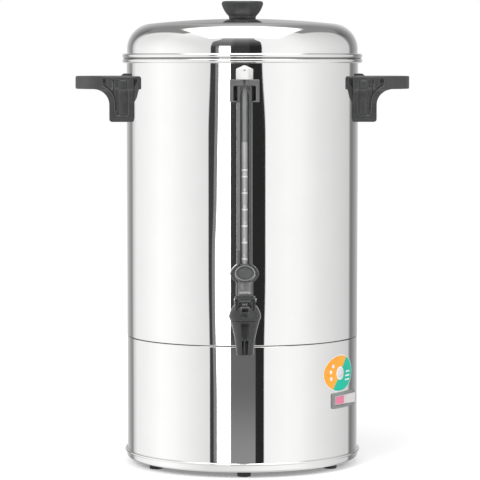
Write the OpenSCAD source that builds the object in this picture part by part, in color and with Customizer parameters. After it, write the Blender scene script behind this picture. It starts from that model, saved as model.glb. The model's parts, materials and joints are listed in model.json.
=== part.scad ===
// Electric coffee urn with a percolating pump, a sight gauge and a lever tap.
// Millimetres. The origin is on the tank's axis at table height, the tap faces -Y and +X is the right handle.

/* [Tank] */
// Outer diameter of the tank
body_d = 260; // [240:1:280]
// Thickness of the sheet steel of tank, skirt, lid and basket
sheet = 1; // [0.8:0.1:1.3]
// Height of the tank from its seam to the top of its rim
tank_h = 311; // [290:1:340]
// Diameter of the rolled beads on the rim and the lid
rim_bead_d = 5.2; // [4:0.1:6]
// Diameter of the heater well in the tank floor
well_d = 64; // [56:1:80]
// Depth of the heater well
well_depth = 8; // [6:0.5:12]

/* [Base] */
// Height of the base from the underside of its trim ring to the seam
base_h = 138; // [124:1:160]
// How far the skirt lies inside the tank's surface
seam_step = 0.4; // [0.2:0.1:0.6]
// Height of the trim ring
trim_h = 10.2; // [8.5:0.1:14]
// Wall of the trim ring at its top
trim_t = 1.6; // [1.4:0.1:2.2]
// How far the trim ring's wall leans in towards its foot
trim_lean = 0.8; // [0:0.1:1]
// Width of the trim ring's flange under the base
trim_flange = 8.6; // [6:0.2:12]
// Thickness of the bottom plate
plate_t = 2; // [1.5:0.1:3]
// Number of feet
foot_count = 6; // [4:1:8]
// Height of the feet below the trim ring
foot_h = 6.5; // [5.5:0.5:10]
// Diameter of a foot at its top
foot_d = 16.5; // [13:0.5:20]
// Diameter of the rod that ties heater and bottom plate to the tank
rod_d = 6; // [5:0.5:8]

/* [Lid] */
// Height of the lid's crown above the rim
lid_h = 44.3; // [42:0.1:54]
// Radius of the lid's shoulder
lid_shoulder_r = 28.5; // [24:0.5:30]
// Radius of the lid's shallow crown
lid_crown_r = 960; // [800:10:1200]
// Depth of the lid's locating skirt inside the tank
lid_skirt_h = 8; // [5:0.5:12]
// Diameter of the knob
knob_d = 46.6; // [42:0.2:52]
// Height of the knob
knob_h = 20; // [18:0.5:24]
// Diameter of the knob's foot
knob_foot_d = 28.8; // [26:0.2:32]
// Radius of the knob's rounded edge
knob_edge_r = 2.6; // [2:0.1:3.6]
// Radius of the knob's bowl-shaped side
knob_bowl_r = 17.4; // [15:0.2:19]

/* [Handles] */
// How far a handle reaches out from the tank
handle_reach = 57.5; // [50:0.5:66]
// Width of a handle
handle_w = 132; // [124:1:138]
// Height of a handle
handle_h = 50.8; // [46:0.2:58]
// Depth of the handles' top below the rim
handle_drop = 19.5; // [17:0.5:30]
// Thickness of the grip ledge
grip_t = 14.3; // [12:0.1:17]
// How far the handle's stem stands out from the tank
stem_reach = 18; // [16:0.5:22]
// Width of the handle's stem
stem_w = 101; // [94:1:108]
// Radius of the hollow under the grip
grip_fillet_r = 17.2; // [14:0.2:20]
// Wall of the strap that runs round the handle's moulded pockets
strap_t = 6; // [5:0.2:7]
// Depth of the deep slots beside the strap
slot_depth = 9; // [6:0.5:12]
// Depth of the shallow panel between the slots
panel_depth = 2.2; // [1.5:0.1:3]

/* [Sight gauge] */
// Distance of the glass tube's axis from the tank
gauge_standoff = 14; // [13:0.5:18]
// Outer diameter of the glass tube
glass_d = 9; // [8:0.1:9.4]
// Wall of the glass tube
glass_wall = 1.2; // [1:0.1:1.6]
// Width of the guard channel
guard_w = 16.8; // [16:0.2:18.4]
// Width of the guard's front slot
guard_slot_w = 8.8; // [8:0.1:10.4]
// Width of the guard's lower boss
boss_w = 31.4; // [28:0.2:36]
// Height of the guard's lower boss
boss_h = 23.8; // [22:0.2:27]
// Height of the boss's centre above the tap's shank
boss_rise = 58; // [54:1:70]
// Width of the guard's foot on the tap
riser_w = 18.4; // [17:0.2:20]
// Width of the top holder
holder_w = 31.6; // [30:0.2:36]
// Height of the top holder
holder_h = 24; // [20:0.5:30]
// Depth of the holder's top below the rim
holder_drop = 22.7; // [21:0.1:40]
// Diameter of the cap nut
cap_d = 18.2; // [17.6:0.2:22]
// Height of the cap nut
cap_h = 15; // [13:0.5:18]

/* [Tap] */
// Height of the tap's shank above the seam
tap_rise = 22.5; // [21:0.5:34]
// Distance of the tap's axis from the tank
tap_reach = 42; // [40:0.5:50]
// Diameter of the shank
shank_d = 18; // [16:0.5:19]
// Bore of the shank
shank_bore = 12; // [9:0.5:13]
// Diameter of the barrel under the bonnet
barrel_d = 31.2; // [30:0.1:33]
// Diameter of the valve chamber
chamber_d = 17; // [15:0.5:18]
// Diameter of the spout at its outlet
spout_d = 17.7; // [16.6:0.1:20]
// Bore of the spout
spout_bore = 8; // [6:0.2:8.4]
// Drop of the spout's outlet below the shank's axis
spout_drop = 27.3; // [24:0.5:34]
// Radius of the spout's flared outline
spout_flare_r = 160; // [120:5:220]
// Width of the slot in the spout's front at the outlet
spout_slot_w = 5; // [4.4:0.1:6]
// Width of the slot under the bonnet
spout_slot_top_w = 9; // [7:0.1:9.4]
// Diameter of the bonnet
bonnet_d = 34.5; // [33.6:0.1:37]
// Height of the bonnet
bonnet_h = 16; // [15:0.5:19]
// Diameter of the bonnet's top
bonnet_top_d = 24.5; // [23:0.1:27]
// Diameter of the valve stem
stem_d = 5; // [4:0.1:5.4]
// Diameter of the lever's pin
pin_d = 3; // [2.4:0.1:3.4]
// Distance of the lever's pin from the stem's axis
lever_arm = 8; // [7.6:0.1:9]
// Full swing of the lever in degrees
lever_swing = 30; // [20:1:34]
// Width of the lever's neck
lever_w = 13.7; // [13:0.1:15]
// Height of the thumb disc's centre above the pin
lever_h = 29.5; // [27:0.5:36]
// Diameter of the thumb disc
disc_d = 22; // [19:0.5:24]
// Wire of the valve spring
spring_wire_d = 1.2; // [0.9:0.1:1.4]

/* [Brewing set] */
// Diameter of the pump tube
tube_d = 12; // [10:0.5:14]
// Wall of the pump tube
tube_wall = 0.8; // [0.6:0.1:1.2]
// Depth of the pump tube's top below the rim
tube_drop = 12; // [10:1:20]
// Diameter of the coffee basket
basket_d = 150; // [130:1:180]
// Height of the coffee basket
basket_h = 80; // [60:1:88]
// Depth of the basket's floor below the rim
basket_drop = 110; // [106:1:130]
// Diameter of the holes in basket and spreader
screen_hole_d = 2.6; // [2:0.1:3]

/* [Switch and inlet] */
// Angle of the switch from the tap, towards the right handle
switch_angle = 60; // [45:1:90]
// Height of the switch's centre above the table
switch_z = 78.5; // [60:0.5:92]
// Length of the switch's bezel
switch_w = 52; // [50:0.5:56]
// Height of the switch's bezel
switch_h = 17; // [16:0.2:20]
// Thickness of the bezel, which is curved like the skirt
bezel_t = 2.2; // [1.8:0.1:3]
// Full swing of the rocker in degrees
rocker_swing = 10; // [8:1:12]
// Angle of the indicator lamp from the tap
lamp_angle = 55.5; // [40:0.5:90]
// Height of the indicator lamp above the table
lamp_z = 108.5; // [106:0.5:124]
// Diameter of the indicator lens
lamp_d = 9.6; // [7:0.1:12]
// Height of the mains inlet above the table
inlet_z = 56; // [44:1:90]
// Width of the inlet's socket
socket_w = 24.5; // [22:0.5:27]
// Height of the inlet's socket
socket_h = 17; // [15.5:0.5:19]
// Depth of the inlet's socket
socket_depth = 17; // [15:0.5:20]

/* [Hidden] */
$fn = 128;
// Gap between pieces of one body that lie against each other on a curve
seat_gap = 0.1;
// Gap between pieces that move apart
lift_gap = 0.3;
// Radial clearance of pins and shafts that turn or slide
run_gap = 0.05;
// Length of cuts that run right through a piece
through = 100;

body_r = body_d / 2;
inner_r = body_r - sheet;
seam_z = foot_h + base_h;
rim_z = seam_z + tank_h;
floor_z = seam_z + sheet;
well_r = well_d / 2;
well_floor_z = floor_z - well_depth;
well_under_z = well_floor_z - sheet;
bead_r = rim_bead_d / 2;
// How far the beads lap over the tank's wall
bead_lap = 0.4;
bead_centre_r = body_r + bead_r - bead_lap;

skirt_r = body_r - seam_step;
skirt_flange = 12;
trim_floor_t = 1.2;
trim_r = skirt_r + seat_gap + trim_t;
trim_roll_r = 3.2;
skirt_foot_z = foot_h + trim_roll_r + seat_gap;
trim_lip_r = 1.4;
plate_z = foot_h + trim_floor_t;
foot_circle_r = skirt_r - trim_flange - foot_d / 2 - 1;
foot_plug_d = 5;
rod_nut_h = 4;
nut_d = 2 * rod_d;

crown_z = rim_z + lid_h;
lid_step = 0.5;
lid_r = body_r - lid_step;
lid_bead_z = rim_z + lift_gap + bead_r;
shoulder_c_r = lid_r - lid_shoulder_r;
crown_c_z = crown_z - lid_crown_r;
shoulder_c_z = crown_c_z + sqrt(pow(lid_crown_r - lid_shoulder_r, 2) - pow(shoulder_c_r, 2));
shoulder_angle = atan2(shoulder_c_z - crown_c_z, shoulder_c_r);
lid_fit = 0.8;
lid_plug_r = inner_r - lid_fit;
knob_r = knob_d / 2;
knob_screw_d = 4;
knob_screw_depth = 11;
washer_d = 18;
washer_t = 1;

handle_z = rim_z - handle_drop;
// Radius of the grip's long front curve and of the corners that join it to the ends
grip_nose_r = 100;
grip_corner_r = 28;
handle_screw_d = 5;
handle_screw_zs = [handle_z - 8, handle_z - handle_h + 9];
handle_thread = 12;
// How deep a handle runs back round the tank before it is cut to the tank's curve
handle_back = body_r - sqrt(pow(body_r, 2) - pow(handle_w / 2, 2)) + 2;
pad_rise = 2.8;
deck_t = 2.6;

tap_z = seam_z + tap_rise;
tap_y = body_r + tap_reach;
shank_r = shank_d / 2;
gasket_t = 2.4;
flange_r = shank_r + 5;
flange_t = 4;
seat_z = tap_z - shank_bore / 2 - 1;
shoulder_z = tap_z + shank_r + 1;
collar_r = barrel_d / 2 - 1.85;
collar_h = 9;
spout_z = tap_z - spout_drop;
spout_tube_r = spout_bore / 2 + 1.2;
cowl_t = 2.2;
seat_t = 4;
bonnet_top_z = shoulder_z + bonnet_h;
pin_y = tap_y + lever_arm;
pin_z = bonnet_top_z + 6;
hub_r = pin_d / 2 + 1.8;
fork_t = 3.8;
fork_r = 5;
ridge_r = 2;
prong_t = 2.6;
prong_angle = lever_swing / 2;
stem_head_z = pin_z - lever_arm * sin(prong_angle) + ridge_r + lift_gap;
stem_head_r = stem_d / 2 + 1.4;
cup_h = 8;
cup_r = chamber_d / 2 - 1;
cup_z = seat_z + lift_gap;
spring_z = cup_z + cup_h + 1.6;
spring_top_z = shoulder_z + collar_h - 0.1;
spring_r = stem_d / 2 + 1.6 + spring_wire_d / 2;
spring_turns = 6;

gauge_y = body_r + gauge_standoff;
glass_r = glass_d / 2;
glass_bore_r = glass_r + seat_gap;
guard_foot_z = tap_z + flange_r + 0.5;
boss_z = tap_z + boss_rise;
channel_z = boss_z + boss_h / 2 - 1.5;
holder_top_z = rim_z - holder_drop;
holder_screw_z = holder_top_z - holder_h / 2;
holder_bar_h = 6.5;
guard_top_z = holder_top_z - holder_bar_h - seat_gap;
glass_z = boss_z - boss_h / 2 + 2;
seal_t = 2;
glass_top_z = holder_top_z + 4;
ear_t = 3.8;
// Width of the split in the holder and in the top of the guard
split_w = 2.6;
nipple_r = glass_r + 3;
nipple_h = 8;
spigot_h = 6;
spigot_r = riser_w / 2 - 4.2;
riser_bore_r = glass_r - glass_wall;

bell_r = well_r - 4;
bell_h = 22;
bell_neck_h = 10;
bell_lip = 9;
bell_z = well_floor_z + lift_gap;
tube_r = tube_d / 2;
tube_z = bell_z + bell_h;
tube_top_z = rim_z - tube_drop;
basket_z = rim_z - basket_drop;
basket_r = basket_d / 2;
basket_lip = 9;
basket_top_z = basket_z + basket_h;
basket_bead_r = 1.6;
screen_z = basket_z + sheet;
sleeve_r = tube_r + 0.4;
sleeve_h = 26;
collar_t = 3;
spreader_z = basket_top_z + basket_bead_r + lift_gap;
spreader_dish = 5;
spreader_dish_r = basket_r - sheet - 3;
valve_disc_t = 0.8;
valve_disc_z = bell_z + sheet + lift_gap;

heater_t = 5;
heater_ring_r = 3.5;
rocker_w = switch_w - 9;
rocker_h = switch_h - 6.2;
rocker_mid = 0.2;
rocker_pivot = rocker_mid - 3;
// How much steeper the raised half of the rocker stands than the pressed half lies
rocker_vee = 2;
rocker_rise = rocker_w / 2 * tan((rocker_swing + rocker_vee) / 2);
rocker_sink = rocker_w / 2 * tan((rocker_swing - rocker_vee) / 2);
slot_half_w = sqrt(pow(rocker_w / 2, 2) + pow(rocker_rise + 3, 2)) + 0.4;
trunnion_r = 1.5;
switch_depth = 14;
switch_wall = 1.4;
inlet_flange = 5;
inlet_t = 3;
pin_thick = 2;
inlet_pin_gap = 7;

// A profile turned about the Z axis
module spun() {
    rotate_extrude() children();
}

// A rectangle in a turned profile, from one radius and height to another
module band(r_in, r_out, z_low, z_top) {
    translate([r_in, z_low]) square([r_out - r_in, z_top - z_low]);
}

// A stretch of a round band, between two angles less than 180 degrees apart
module arc_band(r_in, r_out, from, to) {
    reach = 3 * r_out;
    mid = (from + to) / 2;
    intersection() {
        difference() {
            circle(r_out);
            circle(r_in);
        }
        polygon([
            [0, 0],
            [reach * cos(from), reach * sin(from)],
            [reach * cos(mid), reach * sin(mid)],
            [reach * cos(to), reach * sin(to)]
        ]);
    }
}

// A rectangle with round corners, its lower left corner at the origin
module round_rect(w, h, r) {
    translate([r, 0]) square([w - 2 * r, h]);
    translate([0, r]) square([w, h - 2 * r]);
    for (x = [r, w - r], y = [r, h - r]) translate([x, y]) circle(r);
}

// Carries children from the front to an angle round the tank, +Y inwards
module around(angle, r, z) {
    rotate([0, 0, angle]) translate([0, -r, z]) children();
}

// A cylinder that runs along Y, from one distance in front of the tank's axis to a smaller one
module along_y(r, y_far, y_near) {
    translate([0, -y_near, 0]) rotate([90, 0, 0]) cylinder(r = r, h = y_far - y_near);
}

// A cylinder along X, centred
module along_x(r, length) {
    rotate([0, 90, 0]) cylinder(r = r, h = length, center = true);
}

// The tank's cylinder, for cutting pieces to its curve
module tank_cylinder(r) {
    translate([0, 0, -1]) cylinder(r = r, h = crown_z, $fn = 256);
}

module handle_screw_places() {
    for (side = [-1, 1], z = handle_screw_zs) translate([side * body_r, 0, z]) children();
}

module tank_shell() {
    color("gainsboro") difference() {
        spun() {
            band(inner_r, body_r, seam_z, rim_z - bead_r);
            translate([bead_centre_r, rim_z - bead_r]) circle(bead_r);
        }
        translate([0, 0, tap_z]) along_y(shank_r + seat_gap, body_r + 10, inner_r - 10);
        translate([0, 0, holder_screw_z]) along_y(handle_screw_d / 2 + seat_gap, body_r + 5, inner_r - 5);
        handle_screw_places() along_x(handle_screw_d / 2 + seat_gap, 20);
    }
}

module tank_floor() {
    color("silver") spun() {
        band(well_r, inner_r - seat_gap, seam_z, floor_z);
        band(well_r, well_r + sheet, well_under_z, floor_z);
        band(0, well_r + sheet, well_under_z, well_floor_z);
    }
}

module base_skirt() {
    color("gainsboro") difference() {
        spun() {
            band(skirt_r - sheet, skirt_r, skirt_foot_z, seam_z);
            band(skirt_r - skirt_flange, skirt_r, seam_z - sheet, seam_z);
        }
        around(switch_angle, skirt_r, switch_z) switch_body(seat_gap, 10);
        around(lamp_angle, skirt_r, lamp_z) rotate([90, 0, 0])
            cylinder(r = lamp_d / 2 - 1 + seat_gap, h = 30, center = true);
        around(180, skirt_r, inlet_z) inlet_body(seat_gap, 10);
    }
}

module base_ring() {
    roll_c_r = trim_r - trim_lean - trim_roll_r;
    roll_z = foot_h + trim_roll_r;
    lip_z = foot_h + trim_h - trim_lip_r;
    color("gainsboro") spun() {
        polygon([
            [trim_r - trim_t, roll_z],
            [trim_r - trim_lean, roll_z],
            [trim_r, lip_z - trim_lip_r],
            [trim_r, foot_h + trim_h],
            [trim_r - trim_t, foot_h + trim_h]
        ]);
        translate([trim_r, lip_z]) arc_band(0, trim_lip_r, -90, 0);
        translate([trim_r, lip_z]) arc_band(0, trim_lip_r, 0, 90);
        translate([roll_c_r, roll_z]) arc_band(trim_roll_r - trim_floor_t, trim_roll_r, -90, 0);
        band(skirt_r - trim_flange, roll_c_r, foot_h, foot_h + trim_floor_t);
    }
}

module bottom_plate() {
    slot_count = 12;
    slot_w = 3;
    color("dimgray") difference() {
        translate([0, 0, plate_z]) cylinder(r = skirt_r - sheet - 1, h = plate_t);
        cylinder(r = rod_d / 2 + seat_gap, h = plate_z + 2 * plate_t);
        for (i = [1:foot_count]) around((i - 1) * 360 / foot_count, foot_circle_r, 0)
            cylinder(r = foot_plug_d / 2 + seat_gap, h = plate_z + 2 * plate_t);
        for (i = [1:slot_count]) rotate([0, 0, (i - 0.5) * 360 / slot_count])
            translate([50, -slot_w / 2, plate_z - 1]) cube([24, slot_w, plate_t + 2]);
    }
}

module centre_rod() {
    color("silver") translate([0, 0, plate_z - rod_nut_h - 0.5])
        cylinder(r = rod_d / 2, h = well_under_z - plate_z + rod_nut_h + 0.5);
}

module hex_nut(d, bore_r, h) {
    difference() {
        cylinder(r = d / 2, h = h, $fn = 6);
        translate([0, 0, -1]) cylinder(r = bore_r, h = h + 2);
    }
}

module base_nut() {
    color("silver") translate([0, 0, plate_z - rod_nut_h]) hex_nut(nut_d, rod_d / 2 + run_gap, rod_nut_h);
}

// A rubber foot with a plug that snaps through the bottom plate
module foot(i) {
    snap_r = foot_plug_d / 2 + 0.8;
    color("black") around((i - 1) * 360 / foot_count, foot_circle_r, 0) {
        cylinder(r1 = foot_d / 2 - 1, r2 = foot_d / 2, h = plate_z);
        translate([0, 0, plate_z - 1]) cylinder(r = foot_plug_d / 2, h = plate_t + 2);
        translate([0, 0, plate_z + plate_t + seat_gap])
            cylinder(r1 = snap_r, r2 = foot_plug_d / 2 - 1, h = 3);
    }
}

// Outline of a handle from the front: x out from the tank, y up from the grip's top
module handle_front() {
    difference() {
        union() {
            translate([-handle_back, -handle_h]) round_rect(stem_reach + handle_back, handle_h, 3);
            translate([-handle_back, -grip_t - grip_fillet_r])
                square([stem_reach + grip_fillet_r + handle_back, grip_t + grip_fillet_r - 3]);
            translate([-handle_back, -grip_t]) round_rect(handle_reach + handle_back, grip_t, 2);
        }
        translate([stem_reach + grip_fillet_r, -grip_t - grip_fillet_r]) circle(grip_fillet_r);
    }
}

// Outline of a handle from the side: x across, y up from the grip's top, with its ends moved in by an inset
module handle_side(inset) {
    fillet_y = -grip_t - grip_fillet_r;
    grip_half = handle_w / 2 - inset;
    stem_half = stem_w / 2 - inset;
    difference() {
        union() {
            translate([-stem_half, -handle_h]) round_rect(2 * stem_half, handle_h, 5);
            translate([-grip_half, -grip_t]) round_rect(2 * grip_half, grip_t, 2);
            translate([-grip_half, fillet_y]) square([2 * grip_half, grip_t + grip_fillet_r - 3]);
        }
        for (side = [-1, 1])
            translate([side * (stem_w / 2 + grip_fillet_r), fillet_y]) circle(grip_fillet_r + inset);
    }
}

// Outline of a handle from above: x out from the tank, a long curve with a round corner at each end
module handle_plan() {
    nose_x = handle_reach - grip_nose_r;
    corner_y = handle_w / 2 - grip_corner_r;
    corner_x = nose_x + sqrt(pow(grip_nose_r - grip_corner_r, 2) - pow(corner_y, 2));
    turn = atan2(corner_y, corner_x - nose_x);
    translate([nose_x, 0]) arc_band(0, grip_nose_r, -turn, turn);
    for (side = [-1, 1]) translate([corner_x, side * corner_y]) circle(grip_corner_r);
    translate([-handle_back, -handle_w / 2]) square([corner_x + handle_back, handle_w]);
}

// The end of a handle inside its strap and deck, at a margin, between two distances from the tank
module inside_strap(x_low, x_high, margin) {
    edge = strap_t + margin;
    difference() {
        translate([x_low, -handle_h + edge]) square([x_high - x_low, handle_h - edge - deck_t - margin]);
        translate([stem_reach + grip_fillet_r, -grip_t - grip_fillet_r]) circle(grip_fillet_r + edge);
        translate([stem_reach - edge, -handle_h]) square([30, handle_h - grip_t - grip_fillet_r]);
    }
}

// Outline of the deep slots: one along the strap, a narrow one beside the rib and one near the tank
module handle_slots() {
    along_strap = 2.6;
    inside_strap(20.4, 25.4, 0);
    inside_strap(12, 14.2, 0);
    intersection() {
        inside_strap(5, 21, 0);
        translate([stem_reach + grip_fillet_r, -grip_t - grip_fillet_r])
            circle(grip_fillet_r + strap_t + along_strap);
    }
    polygon([[-14.2, -deck_t], [-9.6, -deck_t], [-9.6, -30], [-11, -26], [-14.2, -grip_t - 3]]);
}

// A cut that goes from both ends of a handle to a depth below their surface
module handle_end_cut(depth) {
    difference() {
        rotate([90, 0, 0]) linear_extrude(handle_w + 2, center = true) children();
        translate([-handle_back - 1, 0, 0]) rotate([90, 0, 90])
            linear_extrude(handle_reach + handle_back + 2) handle_side(depth);
    }
}

// Outline of the raised pad on a handle's top, with a sloped outer end
module handle_pad() {
    pad_x = 5.6;
    polygon([[-12, -1], [pad_x, -1], [pad_x, 0], [pad_x - pad_rise, pad_rise], [-12, pad_rise]]);
}

// A handle in its own place on the right of the tank
module handle() {
    pad_w = 86;
    difference() {
        translate([body_r, 0, handle_z]) {
            difference() {
                intersection() {
                    rotate([90, 0, 0]) linear_extrude(handle_w + 2, center = true) handle_front();
                    translate([-handle_back - 1, 0, 0]) rotate([90, 0, 90])
                        linear_extrude(handle_reach + handle_back + 2) handle_side(0);
                    translate([0, 0, -handle_h - 1]) linear_extrude(handle_h + 2) handle_plan();
                }
                handle_end_cut(panel_depth) inside_strap(-3, 15, 1);
                handle_end_cut(slot_depth) handle_slots();
            }
            rotate([90, 0, 0]) linear_extrude(pad_w, center = true) handle_pad();
        }
        tank_cylinder(body_r + seat_gap);
        for (z = handle_screw_zs) translate([body_r, 0, z])
            along_x(handle_screw_d / 2 + run_gap, 2 * handle_thread);
    }
}

module right_handle() {
    color("dimgray") handle();
}

module left_handle() {
    color("dimgray") mirror([1, 0, 0]) handle();
}

// A pan-head screw that runs outwards along X from inside the tank's wall
module wall_screw(length) {
    rotate([0, 90, 0]) cylinder(r = handle_screw_d / 2, h = length);
    translate([-3, 0, 0]) rotate([0, 90, 0]) cylinder(r = handle_screw_d, h = 3);
}

module handle_screw(i) {
    side = i <= 2 ? 1 : -1;
    z = handle_screw_zs[(i - 1) % 2];
    color("silver") mirror([side < 0 ? 1 : 0, 0, 0])
        translate([inner_r - 0.3, 0, z]) wall_screw(handle_thread + sheet - 0.2);
}

// Plan of the guard channel, the glass axis at the origin and -Y to the front
module guard_plan(w) {
    corner = 3;
    difference() {
        union() {
            translate([-w / 2, -w / 2]) round_rect(w, w, corner);
            translate([-w / 2, 0]) square([w, w / 2]);
        }
        circle(glass_bore_r + 0.6);
    }
}

// The boss's outline from the front: two arcs that meet in a point on each side
module boss_outline() {
    arc_r = (pow(boss_w / 2, 2) + pow(boss_h / 2, 2)) / boss_h;
    intersection() {
        translate([0, arc_r - boss_h / 2]) circle(arc_r);
        translate([0, boss_h / 2 - arc_r]) circle(arc_r);
    }
}

// The slot's outline from the front, with a pointed arch and a narrow split above it
module slot_outline() {
    w = guard_slot_w;
    spring_y = guard_top_z - 1 - w;
    translate([-split_w / 2, spring_y]) square([split_w, w + 2]);
    translate([-w / 2, channel_z]) square([w, spring_y - channel_z]);
    intersection() {
        translate([-w / 2, spring_y]) circle(w);
        translate([w / 2, spring_y]) circle(w);
        translate([-w, spring_y - 1]) square([2 * w, 2 * w]);
    }
}

module gauge_guard() {
    front = guard_w / 2;
    color("dimgray") difference() {
        union() {
            translate([0, -gauge_y, boss_z]) linear_extrude(guard_top_z - boss_z) guard_plan(guard_w);
            translate([0, -gauge_y - front, boss_z]) rotate([-90, 0, 0])
                linear_extrude(guard_w - 3) boss_outline();
            translate([0, -gauge_y, guard_foot_z]) linear_extrude(boss_z - guard_foot_z)
                translate([-riser_w / 2, -front]) round_rect(riser_w, guard_w, 3);
        }
        translate([0, -gauge_y, glass_z]) cylinder(r = glass_bore_r, h = tank_h);
        translate([0, -gauge_y, glass_z - seal_t]) cylinder(r = glass_bore_r, h = tank_h);
        translate([0, -gauge_y, guard_foot_z - 1]) cylinder(r = riser_bore_r, h = boss_rise);
        translate([0, -gauge_y, guard_foot_z - 1])
            cylinder(r = spigot_r + run_gap, h = spigot_h + 1 + seat_gap);
        translate([0, -gauge_y, 0]) rotate([90, 0, 0]) linear_extrude(guard_w) slot_outline();
    }
}

// Plan of the holder: a back plate against the tank and two ears
module holder_plan() {
    depth = gauge_standoff + guard_w / 2;
    translate([-holder_w / 2, -gauge_y + guard_w / 2 + seat_gap])
        square([holder_w, gauge_y - guard_w / 2 - inner_r]);
    for (side = [-1, 1]) translate([side * (holder_w / 2 - ear_t / 2) - ear_t / 2, -body_r - depth])
        square([ear_t, depth + sheet]);
}

module gauge_holder() {
    low_bar_h = 1.3;
    low_bar_w = (holder_w - guard_w) / 2 - seat_gap;
    low_bar_x = (holder_w - low_bar_w) / 2;
    depth = gauge_standoff + guard_w / 2;
    color("dimgray") difference() {
        union() {
            translate([0, 0, holder_top_z - holder_h]) linear_extrude(holder_h) holder_plan();
            translate([-holder_w / 2, -body_r - depth, holder_top_z - holder_bar_h])
                cube([holder_w, depth + sheet, holder_bar_h]);
            for (side = [-1, 1])
                translate([side * low_bar_x - low_bar_w / 2, -body_r - depth + 1, holder_top_z - holder_h])
                    cube([low_bar_w, depth - 4, low_bar_h]);
            translate([0, -gauge_y, holder_top_z - 1]) cylinder(r = nipple_r, h = nipple_h + 1);
        }
        tank_cylinder(body_r + seat_gap);
        translate([0, -gauge_y, guard_foot_z]) cylinder(r = glass_bore_r, h = tank_h);
        translate([0, 0, holder_screw_z]) along_y(handle_screw_d / 2 + run_gap, gauge_y, inner_r);
        translate([0, -gauge_y, glass_top_z]) cylinder(r = glass_r + 1.5, h = tank_h);
        translate([-split_w / 2, -gauge_y - guard_w, holder_top_z - holder_h])
            cube([split_w, guard_w, holder_h + 1]);
    }
}

module holder_screw() {
    length = gauge_standoff - guard_w / 2 + sheet - 0.4;
    color("silver") translate([0, -inner_r + 0.3, holder_screw_z]) rotate([0, 0, -90]) wall_screw(length);
}

module sight_glass() {
    color("lightcyan") translate([0, -gauge_y, glass_z]) difference() {
        cylinder(r = glass_r, h = glass_top_z - glass_z);
        translate([0, 0, -1]) cylinder(r = glass_r - glass_wall, h = tank_h);
    }
}

module glass_seal_low() {
    color("gray") translate([0, -gauge_y, glass_z - seal_t]) difference() {
        cylinder(r = glass_r, h = seal_t);
        translate([0, 0, -1]) cylinder(r = glass_r - glass_wall, h = seal_t + 2);
    }
}

module glass_seal_top() {
    color("gray") translate([0, -gauge_y, glass_top_z]) difference() {
        cylinder(r = glass_r + 1.4, h = seal_t);
        translate([0, 0, -1]) cylinder(r = glass_r - glass_wall, h = seal_t + 2);
    }
}

// An eight-sided nut with a conical top and a vent hole in its front
module gauge_cap() {
    flat_h = cap_h - 4;
    vent_r = 0.8;
    vent_z = flat_h - 1.2;
    color("whitesmoke") translate([0, -gauge_y, holder_top_z + seat_gap]) difference() {
        intersection() {
            rotate([0, 0, 22.5]) cylinder(r = cap_d / 2 / cos(22.5), h = cap_h, $fn = 8);
            union() {
                cylinder(r = cap_d, h = flat_h);
                translate([0, 0, flat_h]) cylinder(r1 = cap_d / 2 + 0.6, r2 = 1.2, h = cap_h - flat_h);
            }
        }
        translate([0, 0, -1]) cylinder(r = nipple_r + run_gap, h = nipple_h + 1 + seat_gap);
        cylinder(r = vent_r, h = vent_z);
        translate([0, 0, vent_z]) rotate([90, 0, 0]) cylinder(r = vent_r, h = cap_d);
    }
}

// The circle that gives the spout its flare, through the barrel's edge and the outlet's edge
function flare_centre(a, b, r) =
    let (mid = (a + b) / 2, half = (b - a) / 2, back = sqrt(r * r - half * half))
    mid + back * [half[1], -half[0]] / norm(half);

// Radius of the spout and barrel at a height
function spout_r_at(z) =
    let (c = flare_centre([spout_d / 2, spout_z], [barrel_d / 2, shoulder_z], spout_flare_r))
    c[0] - sqrt(pow(spout_flare_r, 2) - pow(z - c[1], 2));

// Outer profile of the spout and barrel, narrowed by an inset
module spout_profile(inset, z_low, z_top) {
    steps = 4;
    polygon(concat(
        [[0, z_top], [0, z_low]],
        [for (k = [0:steps]) let (z = z_low + (z_top - z_low) * k / steps) [spout_r_at(z) - inset, z]]
    ));
}

// Width of the slot in the spout's front at a height
function slot_w_at(z) =
    spout_slot_w + (spout_slot_top_w - spout_slot_w) * (z - spout_z) / (shoulder_z - spout_z);

// The slot in the spout's front: through the cowl to the outlet tube, and above that into the barrel's wall
module spout_slot() {
    foot_z = spout_z - 1;
    top_z = shoulder_z - 2;
    step_z = seat_z - seat_t;
    low = slot_w_at(foot_z) / 2;
    top = slot_w_at(top_z) / 2;
    tube_y = -spout_tube_r - 0.2;
    wall_y = -chamber_d / 2 - 1.2;
    intersection() {
        rotate([90, 0, 0]) linear_extrude(barrel_d)
            polygon([[-low, foot_z], [low, foot_z], [top, top_z], [-top, top_z]]);
        rotate([90, 0, 90]) linear_extrude(barrel_d, center = true) polygon([
            [-barrel_d, foot_z - 1],
            [tube_y, foot_z - 1],
            [tube_y, step_z],
            [wall_y, step_z],
            [wall_y, shoulder_z],
            [-barrel_d, shoulder_z]
        ]);
    }
}

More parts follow.
